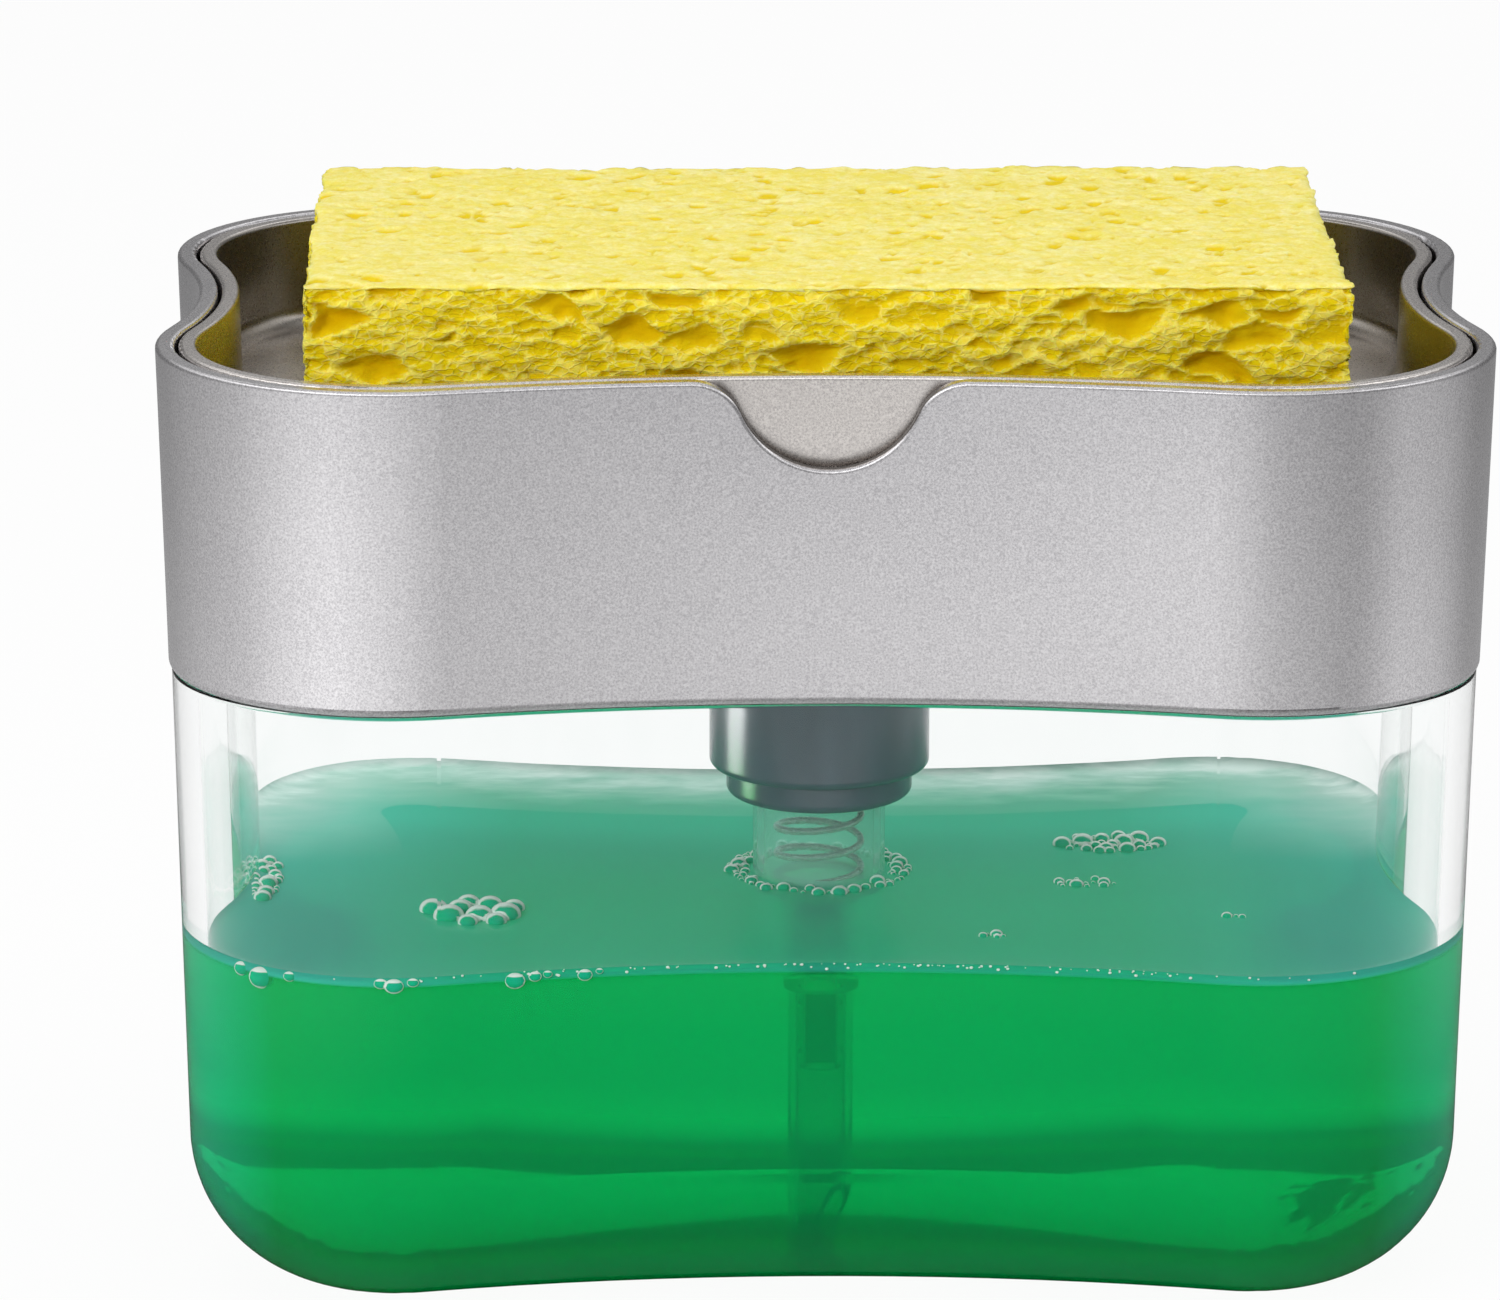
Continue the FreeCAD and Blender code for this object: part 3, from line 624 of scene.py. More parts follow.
def soap_finish(settings):
    """Cloudy green soap, toned by height with painted light that brightens its base, under a skin of painted
    reflection on the surface and a pale film at the back that is partly real and partly painted light.
    """
    finish, recipe = new_finish("green_soap")
    spot = recipe.spot()
    swirl = recipe.noise(spot, size=0.02, detail=3.0)
    ripple = recipe.noise(recipe.stretched(spot, (0.4, 1.0, 1.0)), size=0.0035, detail=4.0, roughness=0.6)
    across, _, height = recipe.axes(spot)
    sideways = across.maths("ABSOLUTE", across)
    level = SOAP_HIGH.z
    surface = recipe.spread(height, level - settings.surface_from, level - settings.surface_to)
    ends = recipe.spread(sideways, SOAP_HIGH.x - settings.end_width, SOAP_HIGH.x)
    low = 1 - recipe.spread(height, settings.low_height, settings.main_height)
    # Painted light: the lowest soap is brightened towards the base's green
    base = 1 - recipe.spread(height, settings.base_painted_light_height, settings.low_height)
    tone = recipe.mix(swirl, settings.green, settings.deep_green)
    tone = recipe.mix(low, tone, settings.low_green)
    tone = recipe.mix(base, tone, settings.base_painted_light)
    tone = recipe.mix(ends, tone, settings.end_teal)
    # Painted reflection: the top of the soap turns teal
    tone = recipe.mix(surface, tone, settings.teal)
    body = recipe.principled(
        {
            "Base Color": tone,
            "Roughness": 0.04 + swirl * 0.03 + surface * settings.haze,
            "IOR": 1.36,
            "Specular Tint": settings.gleam,
            "Transmission Weight": settings.clearness,
        }
    )
    # Partly wet film and partly painted light: the pale film thickens towards the back wall
    gathered = recipe.mark("back_film")
    film = recipe.spread(gathered + (ripple - 0.5) * gathered, low=0.05, high=1.0)
    veil = recipe.principled(
        {
            "Base Color": recipe.mix(film, settings.veil, settings.film),
            "Roughness": 0.3 + ripple * 0.1,
            "Specular Tint": settings.gleam,
        }
    )
    # Painted reflection: the diffuse veil covers the surface, more near the ends, and gives way to the pale
    # film at the back
    corners = recipe.spread(sideways, settings.corner_from, settings.corner_to)
    cover = surface * (settings.painted_reflection_share + corners * settings.corner_share)
    amount = cover.maths("MAXIMUM", cover, film * settings.film_share)
    soap_under_painted_veil = recipe.blend(amount, body, veil)
    taken = {"Color": settings.stain, "Density": settings.strength}
    depth = recipe.node("ShaderNodeVolumeAbsorption", None, taken)
    recipe.output(recipe.lets_lamps_through(soap_under_painted_veil, settings.green), depth)
    return finish


def froth_finish(settings):
    """Bubbles: a thin green skin that lets some light through, with white painted reflection at its rim and
    where two meet, and white painted highlights on the bubbles at the wall.
    """
    finish, recipe = new_finish("soap_froth")
    film = recipe.noise(recipe.spot(), size=0.0008, detail=2.0)
    # Painted reflection: the rim turns white by its facing and by the painted highlight mark
    edge = recipe.node("ShaderNodeLayerWeight", None, {"Blend": 0.50}, output="Facing")
    painted_rim_light = edge.maths("MAXIMUM", edge, recipe.mark("white"))
    rim = recipe.spread(painted_rim_light + (film - 0.5) * 0.3, low=0.30, high=0.46)
    green = recipe.mix(film, settings.bubble, settings.teal)
    skin = recipe.principled({"Base Color": green, "Roughness": 0.1, "Specular Tint": settings.gleam})
    white = recipe.principled({"Base Color": settings.froth, "Roughness": 0.2 + film * 0.1})
    clear = recipe.node("ShaderNodeBsdfTransparent")
    wall = recipe.blend(settings.bubble_share, clear, skin)
    recipe.output(recipe.blend(rim, wall, white))
    return finish


def sponge_finish(settings):
    """Pale skin on top and bottom, and on the cut sides deep yellow pores with thin bright walls, with
    painted shade that darkens the skin's dents and the pores by their depth.
    """
    finish, recipe = new_finish("cellulose")
    spot = recipe.spot()
    pit = recipe.mark("pit_depth")
    top = recipe.mark("skin")
    fibre = recipe.noise(spot, size=0.0005, detail=5.0, roughness=0.7)
    stray = fibre - 0.5
    patch = recipe.noise(spot, size=0.006, detail=4.0, roughness=0.6)
    grain = recipe.noise(spot, size=0.0013, detail=4.0, roughness=0.7)
    flattened = recipe.stretched(recipe.bent(spot, size=0.0016, reach=0.0009), (1.0, 1.0, 2.0))
    small_cells = recipe.walls(flattened, size=0.0014)
    shallow = 1 - recipe.spread(pit, low=0.10, high=0.30)
    thin = (1 - recipe.spread(small_cells, low=0.02, high=0.14)) * shallow
    speckle = recipe.spread(patch * 0.3 + grain * 0.45 + fibre * 0.25, low=0.44, high=0.60)
    skin = recipe.mix(speckle, settings.skin, settings.bright)
    # Painted shade: the skin's dents and the cut sides' pores darken with their depth
    dent_shade = recipe.spread(pit + stray * 0.04, low=0.02, high=0.07)
    skin = recipe.mix(dent_shade, skin, settings.fleck)
    sunk = recipe.spread(pit + stray * 0.2, low=0.05, high=0.55)
    inner = recipe.mix(sunk, settings.cut, settings.pit)
    edge = recipe.mark("ridge") + thin * 0.5 + stray * 0.9 - pit * 0.5
    cut = recipe.mix(recipe.spread(edge, low=0.55, high=1.20), inner, settings.ridge)
    relief = fibre * 0.6 + grain * 0.5 + thin * (1 - top) * 0.5
    recipe.output(
        recipe.principled(
            {
                "Base Color": recipe.mix(top, cut, skin),
                "Roughness": 0.82 + fibre * 0.15,
                "Normal": recipe.bump(relief, strength=0.7, depth=0.0003),
                "Specular IOR Level": 0.05,
                "Subsurface Weight": 0.35,
                "Subsurface Radius": (1.0, 0.6, 0.15),
                "Subsurface Scale": 0.0016,
            }
        )
    )
    return finish


# Points along each stretch of a quarter of the four-lobed plan
SIDE_STEPS = 9
LOBE_STEPS = 37
FRONT_STEPS = 17


def lobed_ring(tank, inset, z):
    """Points round the four-lobed plan, drawn in by an inset, at a height."""
    wide = RIM_HIGH.x - RIM_LOW.x
    deep = RIM_HIGH.y - RIM_LOW.y
    lobe = tank.lobe_radius - inset
    lobe_x = wide / 2 - tank.lobe_radius
    lobe_y = deep / 2 - tank.lobe_radius
    long_reach = (lobe_x ** 2 + tank.front_recess ** 2) / (2 * tank.front_recess)
    short_reach = (lobe_y ** 2 + tank.side_recess ** 2) / (2 * tank.side_recess)
    long_centre = lobe_y + long_reach - tank.front_recess
    short_centre = lobe_x + short_reach - tank.side_recess
    side_turn = math.atan2(lobe_y, short_centre - lobe_x)
    front_turn = math.atan2(lobe_x, long_centre - lobe_y)
    quarter = []
    for turn in np.linspace(0, side_turn, SIDE_STEPS)[:-1]:
        reach = short_reach - lobe
        quarter.append((short_centre - reach * math.cos(turn), reach * math.sin(turn)))
    for turn in np.linspace(-side_turn, math.pi / 2 + front_turn, LOBE_STEPS)[:-1]:
        quarter.append((lobe_x + lobe * math.cos(turn), lobe_y + lobe * math.sin(turn)))
    for turn in np.linspace(front_turn, 0, FRONT_STEPS):
        reach = long_reach - lobe
        quarter.append((reach * math.sin(turn), long_centre - reach * math.cos(turn)))
    quarter = np.array(quarter)
    half = np.concatenate([quarter, (quarter * (-1, 1))[-2::-1]])
    ring = np.concatenate([half, (half * (1, -1))[-2:0:-1]])
    return np.column_stack([ring, np.full(len(ring), z)])


# Rings in the round of the base and up the wall
ROUND_RINGS = 22
WALL_RINGS = 16
# How much of its bite into the wall the soap gives back at its upper edge
BITE_RELEASE = 0.85
# Where the surface's rings lie, in climb widths from its edge
SURFACE_STEPS = (0.01, 0.2, 0.45, 0.8, 1.2, 1.8, 2.6, 4.0, 6.5, 9.0, 12.0, 15.5, 19.0)
# How much less than the lobes' radius the innermost ring is drawn in
INNER_MARGIN = 0.003


def soap_rings(tank, soap):
    """(inset, height, film) of rings up the soap's wall from its floor, and in over its surface."""
    slope = math.tan(tank.draft)
    floor = tank.wall - soap.bite
    wall = tank.top_inset + tank.wall - soap.bite
    round_radius = tank.base_round + soap.bite
    floor_inset = wall + (tank.shoulder - floor) * slope
    centre = floor_inset + round_radius / math.cos(tank.draft) - round_radius * slope
    rings = []
    for turn in np.linspace(math.pi / 2, tank.draft, ROUND_RINGS):
        inset = centre - round_radius * math.cos(turn)
        rings.append((inset, floor + round_radius * (1 - math.sin(turn)), 0.0))
    level = SOAP_HIGH.z
    top = level + soap.climb
    foot = rings[-1][1]
    for z in np.linspace(foot, top, WALL_RINGS)[1:]:
        eased = 1 - (top - z) / (top - foot)
        released = BITE_RELEASE * soap.bite * eased ** 2
        rings.append((wall + (tank.shoulder - z) * slope + released, z, 0.0))
    edge = rings[-1][0]
    for step in SURFACE_STEPS:
        away = step * soap.climb_width
        climb = soap.climb * math.exp(-away / soap.climb_width)
        rings.append((edge + away, level + climb, math.exp(-away / soap.film_reach)))
    rings.append((tank.lobe_radius - INNER_MARGIN, level, 0.0))
    return rings


def soap_shape(tank, soap):
    """Points and faces of the soap, and how much film each point carries."""
    rings = []
    film = []
    for inset, z, cover in soap_rings(tank, soap):
        ring = lobed_ring(tank, inset, z)
        back = np.clip(ring[:, 1] / soap.film_back, 0, 1)
        rings.append(ring)
        film.append(cover * back)
    points, faces = ring_skin(rings)
    return points, faces, np.concatenate(film)


def ring_skin(rings):
    """Points and faces of a closed skin through rings of one count, capped at both ends."""
    count = len(rings[0])
    points = np.concatenate(rings)
    faces = []
    for row in range(len(rings) - 1):
        for spot in range(count):
            after = (spot + 1) % count
            low = row * count
            high = low + count
            faces.append((low + spot, low + after, high + after, high + spot))
    faces.append(tuple(range(count))[::-1])
    last = (len(rings) - 1) * count
    faces.append(tuple(range(last, last + count)))
    return points, faces


# Froth on the soap: places, reaches and bubble radii in millimetres, and sinks in radii
FROTH_PATCHES = (
    {"middle": (-37.4, -17.2), "reach": (5.2, 3.6), "bubbles": 34, "largest": 1.7},
    {"middle": (-60.6, -4.5), "reach": (1.8, 7.0), "bubbles": 30, "largest": 1.2},
    {"middle": (32.0, 9.5), "reach": (6.0, 3.2), "bubbles": 34, "largest": 1.2},
    {"middle": (28.6, -5.9), "reach": (3.4, 1.6), "bubbles": 14, "largest": 0.8},
    {"middle": (17.5, -25.9), "reach": (1.6, 0.8), "bubbles": 5, "largest": 0.7},
    {"middle": (43.9, -18.8), "reach": (1.0, 0.6), "bubbles": 4, "largest": 0.6},
)
PUMP_FROTH = {"radius": 8.6, "spread": 1.3, "bubbles": 84, "largest": 0.95}
WALL_FROTH = (
    {"x": -60.2, "sizes": (1.0, 1.5, 0.7)},
    {"x": -46.3, "sizes": (0.7, 1.0, 0.6)},
    {"x": -32.6, "sizes": (1.1, 0.7, 0.5)},
    {"x": -25.3, "sizes": (0.8, 0.4)},
)
FINE_WALL_FROTH = {
    "bubbles": 110,
    "spread": 30,
    "reach": 56,
    "sizes": (0.06, 0.20),
    "sinks": (0.5, 3.5),
}
# Kinds of bubble: width, depth and height in radii, and the height from which each is painted white as a
# highlight
LYING = {"squeeze": (1, 1, 0.75), "painted_highlight_from": 1.0}
PRESSED = {"squeeze": (1, 0.5, 0.8), "painted_highlight_from": 0.45}
FINE = {"squeeze": (1, 0.5, 0.8), "painted_highlight_from": -1.0}
# How far bubbles rise above the soap, sink below its edge at the wall and lie apart there, in radii
LYING_RISE = 0.1
PRESSED_SINK = 0.9
PRESSED_STEP = 1.9
# How far bubbles at the wall reach into it, in millimetres
WALL_BITE = 0.25
# Radius in millimetres above which a bubble gets the finer mesh, and both meshes
LARGE_FROM = 0.35
LARGE_MESH = {"bands": 11, "around": 18}
SMALL_MESH = {"bands": 7, "around": 12}
# How fast a bubble's painted highlight turns white upwards, per radius
PAINTED_HIGHLIGHT_SLOPE = 3
# Bubbles this near, in sums of their radii, are tested for a painted white reflection line where they meet
TOUCH_REACH = 1.4
# Width of that line, in radii
TOUCH_WIDTH = 0.32
# Scatter: tries for each bubble, the smallest against the largest, how fast they shrink, nearest spacing
TRIES = 12
SMALLEST = 0.28
SHRINKING = 2.2
SPACING = 0.82


def ball(bands, around):
    """Points and faces of a ball of radius 1, its bands turned half a step against each other."""
    points = [(0, 0, 1)]
    for band in range(1, bands):
        tilt = math.pi * band / bands
        for step in range(around):
            turn = 2 * math.pi * (step + band % 2 / 2) / around
            points.append((math.sin(tilt) * math.cos(turn), math.sin(tilt) * math.sin(turn), math.cos(tilt)))
    points.append((0, 0, -1))
    faces = []
    last = len(points) - 1
    for step in range(around):
        after = (step + 1) % around
        faces.append((0, 1 + step, 1 + after))
        for band in range(bands - 2):
            low = 1 + band * around
            high = low + around
            faces.append((low + step, high + step, high + after, low + after))
        low = 1 + (bands - 2) * around
        faces.append((low + step, last, low + after))
    return np.array(points), faces


def bubble_shape(middle, radius, kind):
    """Points and faces of one bubble, and how white a painted highlight makes each point, by its height."""
    mesh = LARGE_MESH if radius > LARGE_FROM * MM else SMALL_MESH
    points, faces = ball(**mesh)
    white = np.clip((points[:, 2] - kind["painted_highlight_from"]) * PAINTED_HIGHLIGHT_SLOPE, 0, 1)
    return points * radius * np.array(kind["squeeze"]) + np.array(middle), faces, white


def painted_touch_lines(points, own, bubbles):
    """How white a painted reflection line makes each point of one bubble, where it meets another one."""
    middle, radius, _ = bubbles[own]
    white = np.zeros(len(points))
    for other, (centre, size, kind) in enumerate(bubbles):
        if other == own or math.dist(middle, centre) > TOUCH_REACH * (radius + size):
            continue
        gap = np.linalg.norm((points - np.array(centre)) / np.array(kind["squeeze"]), axis=1) - size
        white = np.maximum(white, 1 - gap / (TOUCH_WIDTH * radius))
    return np.clip(white, 0, 1)


def froth_bubbles(tank, soap):
    """(middle, radius, kind) of every bubble on the soap."""
    chance = np.random.default_rng(soap.seed)
    level = SOAP_HIGH.z
    found = []

    def scatter(wanted, largest, pick):
        """Bubbles from large to small that overlap only a little."""
        near = []
        for _ in range(wanted * TRIES):
            if len(near) == wanted:
                break
            shrunk = (1 - len(near) / wanted) ** SHRINKING
            size = largest * MM * (SMALLEST + (1 - SMALLEST) * shrunk)
            x, y = pick()
            if all(math.hypot(x - a, y - b) > SPACING * (size + r) for a, b, r in near):
                near.append((x, y, size))
        for x, y, size in near:
            found.append(((x, y, level + LYING_RISE * size), size, LYING))

    for patch in FROTH_PATCHES:
        def in_patch():
            turn = chance.uniform(0, 2 * math.pi)
            out = math.sqrt(chance.uniform(0, 1))
            x = patch["middle"][0] + patch["reach"][0] * out * math.cos(turn)
            y = patch["middle"][1] + patch["reach"][1] * out * math.sin(turn)
            return x * MM, y * MM

        scatter(patch["bubbles"], patch["largest"], in_patch)

    def round_pump():
        turn = chance.uniform(0, 2 * math.pi)
        out = PUMP_FROTH["radius"] + chance.uniform(-0.5, 1) * PUMP_FROTH["spread"]
        return out * MM * math.cos(turn), out * MM * math.sin(turn)

    scatter(PUMP_FROTH["bubbles"], PUMP_FROTH["largest"], round_pump)

    wall = tank.top_inset + tank.wall + (tank.shoulder - level) * math.tan(tank.draft)
    ring = lobed_ring(tank, wall, level)
    front = ring[ring[:, 1] < 0]
    front = front[np.argsort(front[:, 0])]

    def press_on_wall(x, size, sink, kind):
        """Adds a flat bubble on the front wall, sunk by so many radii under the soap's edge."""
        y = np.interp(x, front[:, 0], front[:, 1]) - WALL_BITE * MM
        found.append(((x, y, level + soap.climb - sink * size), size, kind))

    for group in WALL_FROTH:
        x = group["x"] * MM
        for size in group["sizes"]:
            press_on_wall(x, size * MM, PRESSED_SINK, PRESSED)
            x += size * PRESSED_STEP * MM
    for _ in range(FINE_WALL_FROTH["bubbles"]):
        x = chance.normal(0, FINE_WALL_FROTH["spread"]) * MM
        size = chance.uniform(*FINE_WALL_FROTH["sizes"]) * MM
        if abs(x) < FINE_WALL_FROTH["reach"] * MM:
            press_on_wall(x, size, chance.uniform(*FINE_WALL_FROTH["sinks"]), FINE)
    return found


# Rings along the spring, sides of its wire, and the turns over which its pitch is eased
SPRING_RINGS = 261
WIRE_SIDES = 10
EASE_STEPS = (-0.25, -0.125, 0, 0.125, 0.25)


def spring_heights(pump, turns):
    """Height of the wire's middle after some turns: close end turns and open ones between."""
    rise = SPRING_HIGH.z - SPRING_LOW.z - pump.wire
    middle_pitch = (rise - 2 * pump.end_pitch) / (pump.turns - 2)
    knots = (-1, 1, pump.turns - 1, pump.turns + 1)
    start = SPRING_LOW.z + pump.wire / 2
    heights = (
        start - pump.end_pitch,
        start + pump.end_pitch,
        start + pump.end_pitch + middle_pitch * (pump.turns - 2),
        start + rise + pump.end_pitch,
    )
    return np.interp(turns, knots, heights)


def spring_rings(pump):
    """Rings of the wire along the spring."""
    turns = np.linspace(0, pump.turns, SPRING_RINGS)
    heights = sum(spring_heights(pump, turns + step) for step in EASE_STEPS) / len(EASE_STEPS)
    rings = []
    for turn, height in zip(turns, heights):
        angle_round = 2 * math.pi * turn
        outward = np.array([math.cos(angle_round), math.sin(angle_round), 0])
        ring = []
        for step in range(WIRE_SIDES):
            tilt = 2 * math.pi * step / WIRE_SIDES
            reach = pump.coil_radius + pump.wire / 2 * math.cos(tilt)
            ring.append(outward * reach + np.array([0, 0, height + pump.wire / 2 * math.sin(tilt)]))
        rings.append(np.array(ring))
    return rings


def box_lattice(counts):
    """Lattice points on the surface of a box of so many cells a side, and the quads that join them."""
    corners_of_quads = []
    for axis in range(3):
        across = (axis + 1) % 3
        up = (axis + 2) % 3
        first, second = np.meshgrid(np.arange(counts[across]), np.arange(counts[up]), indexing="ij")
        first = first.ravel()
        second = second.ravel()
        for side in (0, counts[axis]):
            steps = ((0, 0), (1, 0), (1, 1), (0, 1)) if side else ((0, 0), (0, 1), (1, 1), (1, 0))
            corners = []
            for step_first, step_second in steps:
                corner = np.empty((len(first), 3), int)
                corner[:, axis] = side
                corner[:, across] = first + step_first
                corner[:, up] = second + step_second
                corners.append(corner)
            corners_of_quads.append(np.stack(corners, 1))
    quads = np.concatenate(corners_of_quads)
    keys = (quads[..., 0] * (counts[1] + 1) + quads[..., 1]) * (counts[2] + 1) + quads[..., 2]
    used, faces = np.unique(keys, return_inverse=True)
    spots = np.stack(np.unravel_index(used, [count + 1 for count in counts]), 1)
    return spots, faces.reshape(keys.shape)


# Pores of the cut sides and of the skin: cells and depths in millimetres, the distance from its wall at
# which a pore is fully deep, in cells, and the share of the cells that are open
CUT_FOAM = (
    {"cell": (6.0, 6.0, 2.5), "deepest": 2.1, "wall": 0.36, "open": 0.42},
    {"cell": (2.9, 2.9, 1.35), "deepest": 1.0, "wall": 0.32, "open": 0.65},
    {"cell": (1.5, 1.5, 0.8), "deepest": 0.45, "wall": 0.32, "open": 0.95},
)
SKIN_FOAM = (
    {"cell": (2.1, 2.1, 2.1), "deepest": 0.55, "wall": 0.45, "open": 0.16},
    {"cell": (1.2, 1.2, 1.2), "deepest": 0.32, "wall": 0.40, "open": 0.30},
)
# Broad and fine noise that bends the cells, in metres
FOAM_BENDS = ({"swell": 0.0034, "reach": 0.0007}, {"swell": 0.0012, "reach": 0.00028})
# Width of the bright walls between pores, in cells, and how far a pore keeps smaller ones out
RIDGE_WIDTH = 0.075
PORE_CLAIM = 0.75
# How steeply a cell that is open to the surface deepens
OPENING_CURVE = 0.7
# Hearts of cells nearer than this, in cells, are one and the same
SAME_HEART = 0.01
# Noise that shapes the block, its swells in metres
SKIN_CURL = {"swell": 0.0022, "seed": 9, "weight": 0.35}
BROAD_WANDER = {"swell": 0.011, "seed": 3, "weight": 0.6}
FINE_WANDER = {"swell": 0.0035, "seed": 5, "weight": 0.4}
ROUGHNESS = {"swell": 0.0011, "seed": 7}
BROAD_NICKS = {"swell": 0.0042, "seed": 15}
FINE_NICKS = {"swell": 0.0016, "seed": 17, "weight": 0.7}
# Upward turn of a face from which skin covers it, how sharply it starts, and its pores' own seed
SKIN_FROM = 0.3
SKIN_SLOPE = 3
SKIN_SEED_STEP = 100
# Middle level of the nicks' depth, from 0 to 1
NICK_LEVEL = 0.45


def foam(points, cell, seed):
    """Each point's distance to the wall of its foam cell, in cell sizes, and a chance value of that cell."""
    scaled = points / cell
    home = np.floor(scaled).astype(np.int64)
    nearest = np.full(len(points), np.inf)
    own = np.zeros((len(points), 3))
    luck = np.zeros(len(points))
    hearts = []
    for step in product((-1, 0, 1), repeat=3):
        corner = home + np.array(step)
        away = corner + np.stack([chance_at(corner, seed + axis) for axis in range(3)], 1) - scaled
        hearts.append(away)
        distance = np.sum(away ** 2, axis=1)
        closer = distance < nearest
        nearest[closer] = distance[closer]
        own[closer] = away[closer]
        luck[closer] = chance_at(corner[closer], seed + 3)
    wall = np.full(len(points), np.inf)
    for away in hearts:
        apart = away - own
        gap = np.maximum(np.linalg.norm(apart, axis=1), SAME_HEART)
        to_wall = np.sum((away + own) / 2 * apart, axis=1) / gap
        wall = np.where(gap > SAME_HEART, np.minimum(wall, to_wall), wall)
    return wall, luck


def pore_depths(points, families, seed):
    """How far each point sinks into pores of several sizes, and how near it is to a thin wall between two."""
    bent = points
    for turn, bend in enumerate(FOAM_BENDS):
        first = seed + 3 * turn
        push = np.stack([lattice_noise(points, bend["swell"], first + axis) for axis in range(3)], 1)
        bent = bent + push * bend["reach"]
    depth = np.zeros(len(points))
    ridge = np.zeros(len(points))
    solid = np.ones(len(points))
    for turn, family in enumerate(families):
        wall, luck = foam(bent, np.array(family["cell"]) * MM, seed + 10 * (turn + 1))
        bowl = 1 - (1 - np.clip(wall / family["wall"], 0, 1)) ** 2
        opened = np.clip((luck - 1) / family["open"] + 1, 0, 1) ** OPENING_CURVE
        sunk = opened * bowl * solid
        depth += family["deepest"] * MM * sunk
        ridge = np.maximum(ridge, np.exp(-((wall / RIDGE_WIDTH) ** 2)) * solid)
        solid = solid * (1 - PORE_CLAIM * sunk)
    return depth, ridge


def sponge_mesh(settings):
    """Points, quads and the marks that the finish reads on the porous block."""
    middle = np.array((SPONGE_LOW + SPONGE_HIGH) / 2)
    half = np.array((SPONGE_HIGH - SPONGE_LOW) / 2)
    steps = (settings.step_along, settings.step_across, settings.step_up)
    counts = [round(2 * size / step) for size, step in zip(half, steps)]
    spots, faces = box_lattice(counts)
    flat = (spots / np.array(counts) * 2 - 1) * half
    core = np.clip(flat, -(half - settings.edge), half - settings.edge)
    normals = flat - core
    normals /= np.linalg.norm(normals, axis=1)[:, None]
    points = core + normals * settings.edge
    curl = SKIN_FROM + lattice_noise(points, **SKIN_CURL)
    skin = np.clip((np.abs(normals[:, 2]) - curl) * SKIN_SLOPE, 0, 1)
    cut_depth, cut_ridge = pore_depths(points, CUT_FOAM, settings.seed)
    skin_depth, skin_ridge = pore_depths(points, SKIN_FOAM, settings.seed + SKIN_SEED_STEP)
    depth = np.minimum(cut_depth * (1 - skin) + skin_depth * skin, settings.deepest)
    ridge = cut_ridge * (1 - skin) + skin_ridge * skin
    swells = lattice_noise(points, **BROAD_WANDER) + lattice_noise(points, **FINE_WANDER)
    wander = settings.wander * (1 + swells)
    rough = settings.rough * (1 + lattice_noise(points, **ROUGHNESS))
    inside = half - np.abs(flat)
    to_edge = np.maximum(np.minimum(inside[:, 0], inside[:, 1]), inside[:, 2])
    nicks = NICK_LEVEL + lattice_noise(points, **BROAD_NICKS) + lattice_noise(points, **FINE_NICKS)
    worn = np.exp(-(to_edge / settings.wear_width) ** 2) * np.clip(nicks, 0, 1)
    points = points - normals * (depth + wander + rough + settings.wear * worn)[:, None]
    return points + middle, faces, {"pit_depth": depth / settings.deepest, "ridge": ridge, "skin": skin}


# The studio screen's brightness: round it, by degrees from the front, and up it, by metres
SCREEN_LEVELS = (
    {"turned": -180, "level": 0.30},
    {"turned": -150, "level": 0.17},
    {"turned": -128, "level": 0.18},
    {"turned": -98, "level": 0.285},
    {"turned": -74, "level": 0.36},
    {"turned": -55, "level": 0.50},
    {"turned": -34, "level": 0.585},
    {"turned": -20, "level": 0.50},
    {"turned": -9, "level": 0.47},
    {"turned": -4, "level": 0.44},
    {"turned": 1, "level": 0.41},
    {"turned": 6, "level": 0.38},
    {"turned": 12, "level": 0.325},
    {"turned": 28, "level": 0.29},
    {"turned": 48, "level": 0.225},
    {"turned": 58, "level": 0.29},
    {"turned": 67, "level": 0.38},
    {"turned": 89, "level": 0.315},
    {"turned": 114, "level": 0.165},
    {"turned": 150, "level": 0.17},
    {"turned": 180, "level": 0.30},
)
SCREEN_HEIGHTS = (
    {"height": 0.00, "level": 0.52},
    {"height": 0.02, "level": 0.44},
    {"height": 0.05, "level": 0.32},
    {"height": 0.10, "level": 0.22},
    {"height": 0.20, "level": 0.18},
    {"height": 0.25, "level": 1.00},
    {"height": 0.36, "level": 1.00},
    {"height": 0.40, "level": 0.14},
    {"height": 0.50, "level": 0.10},
)


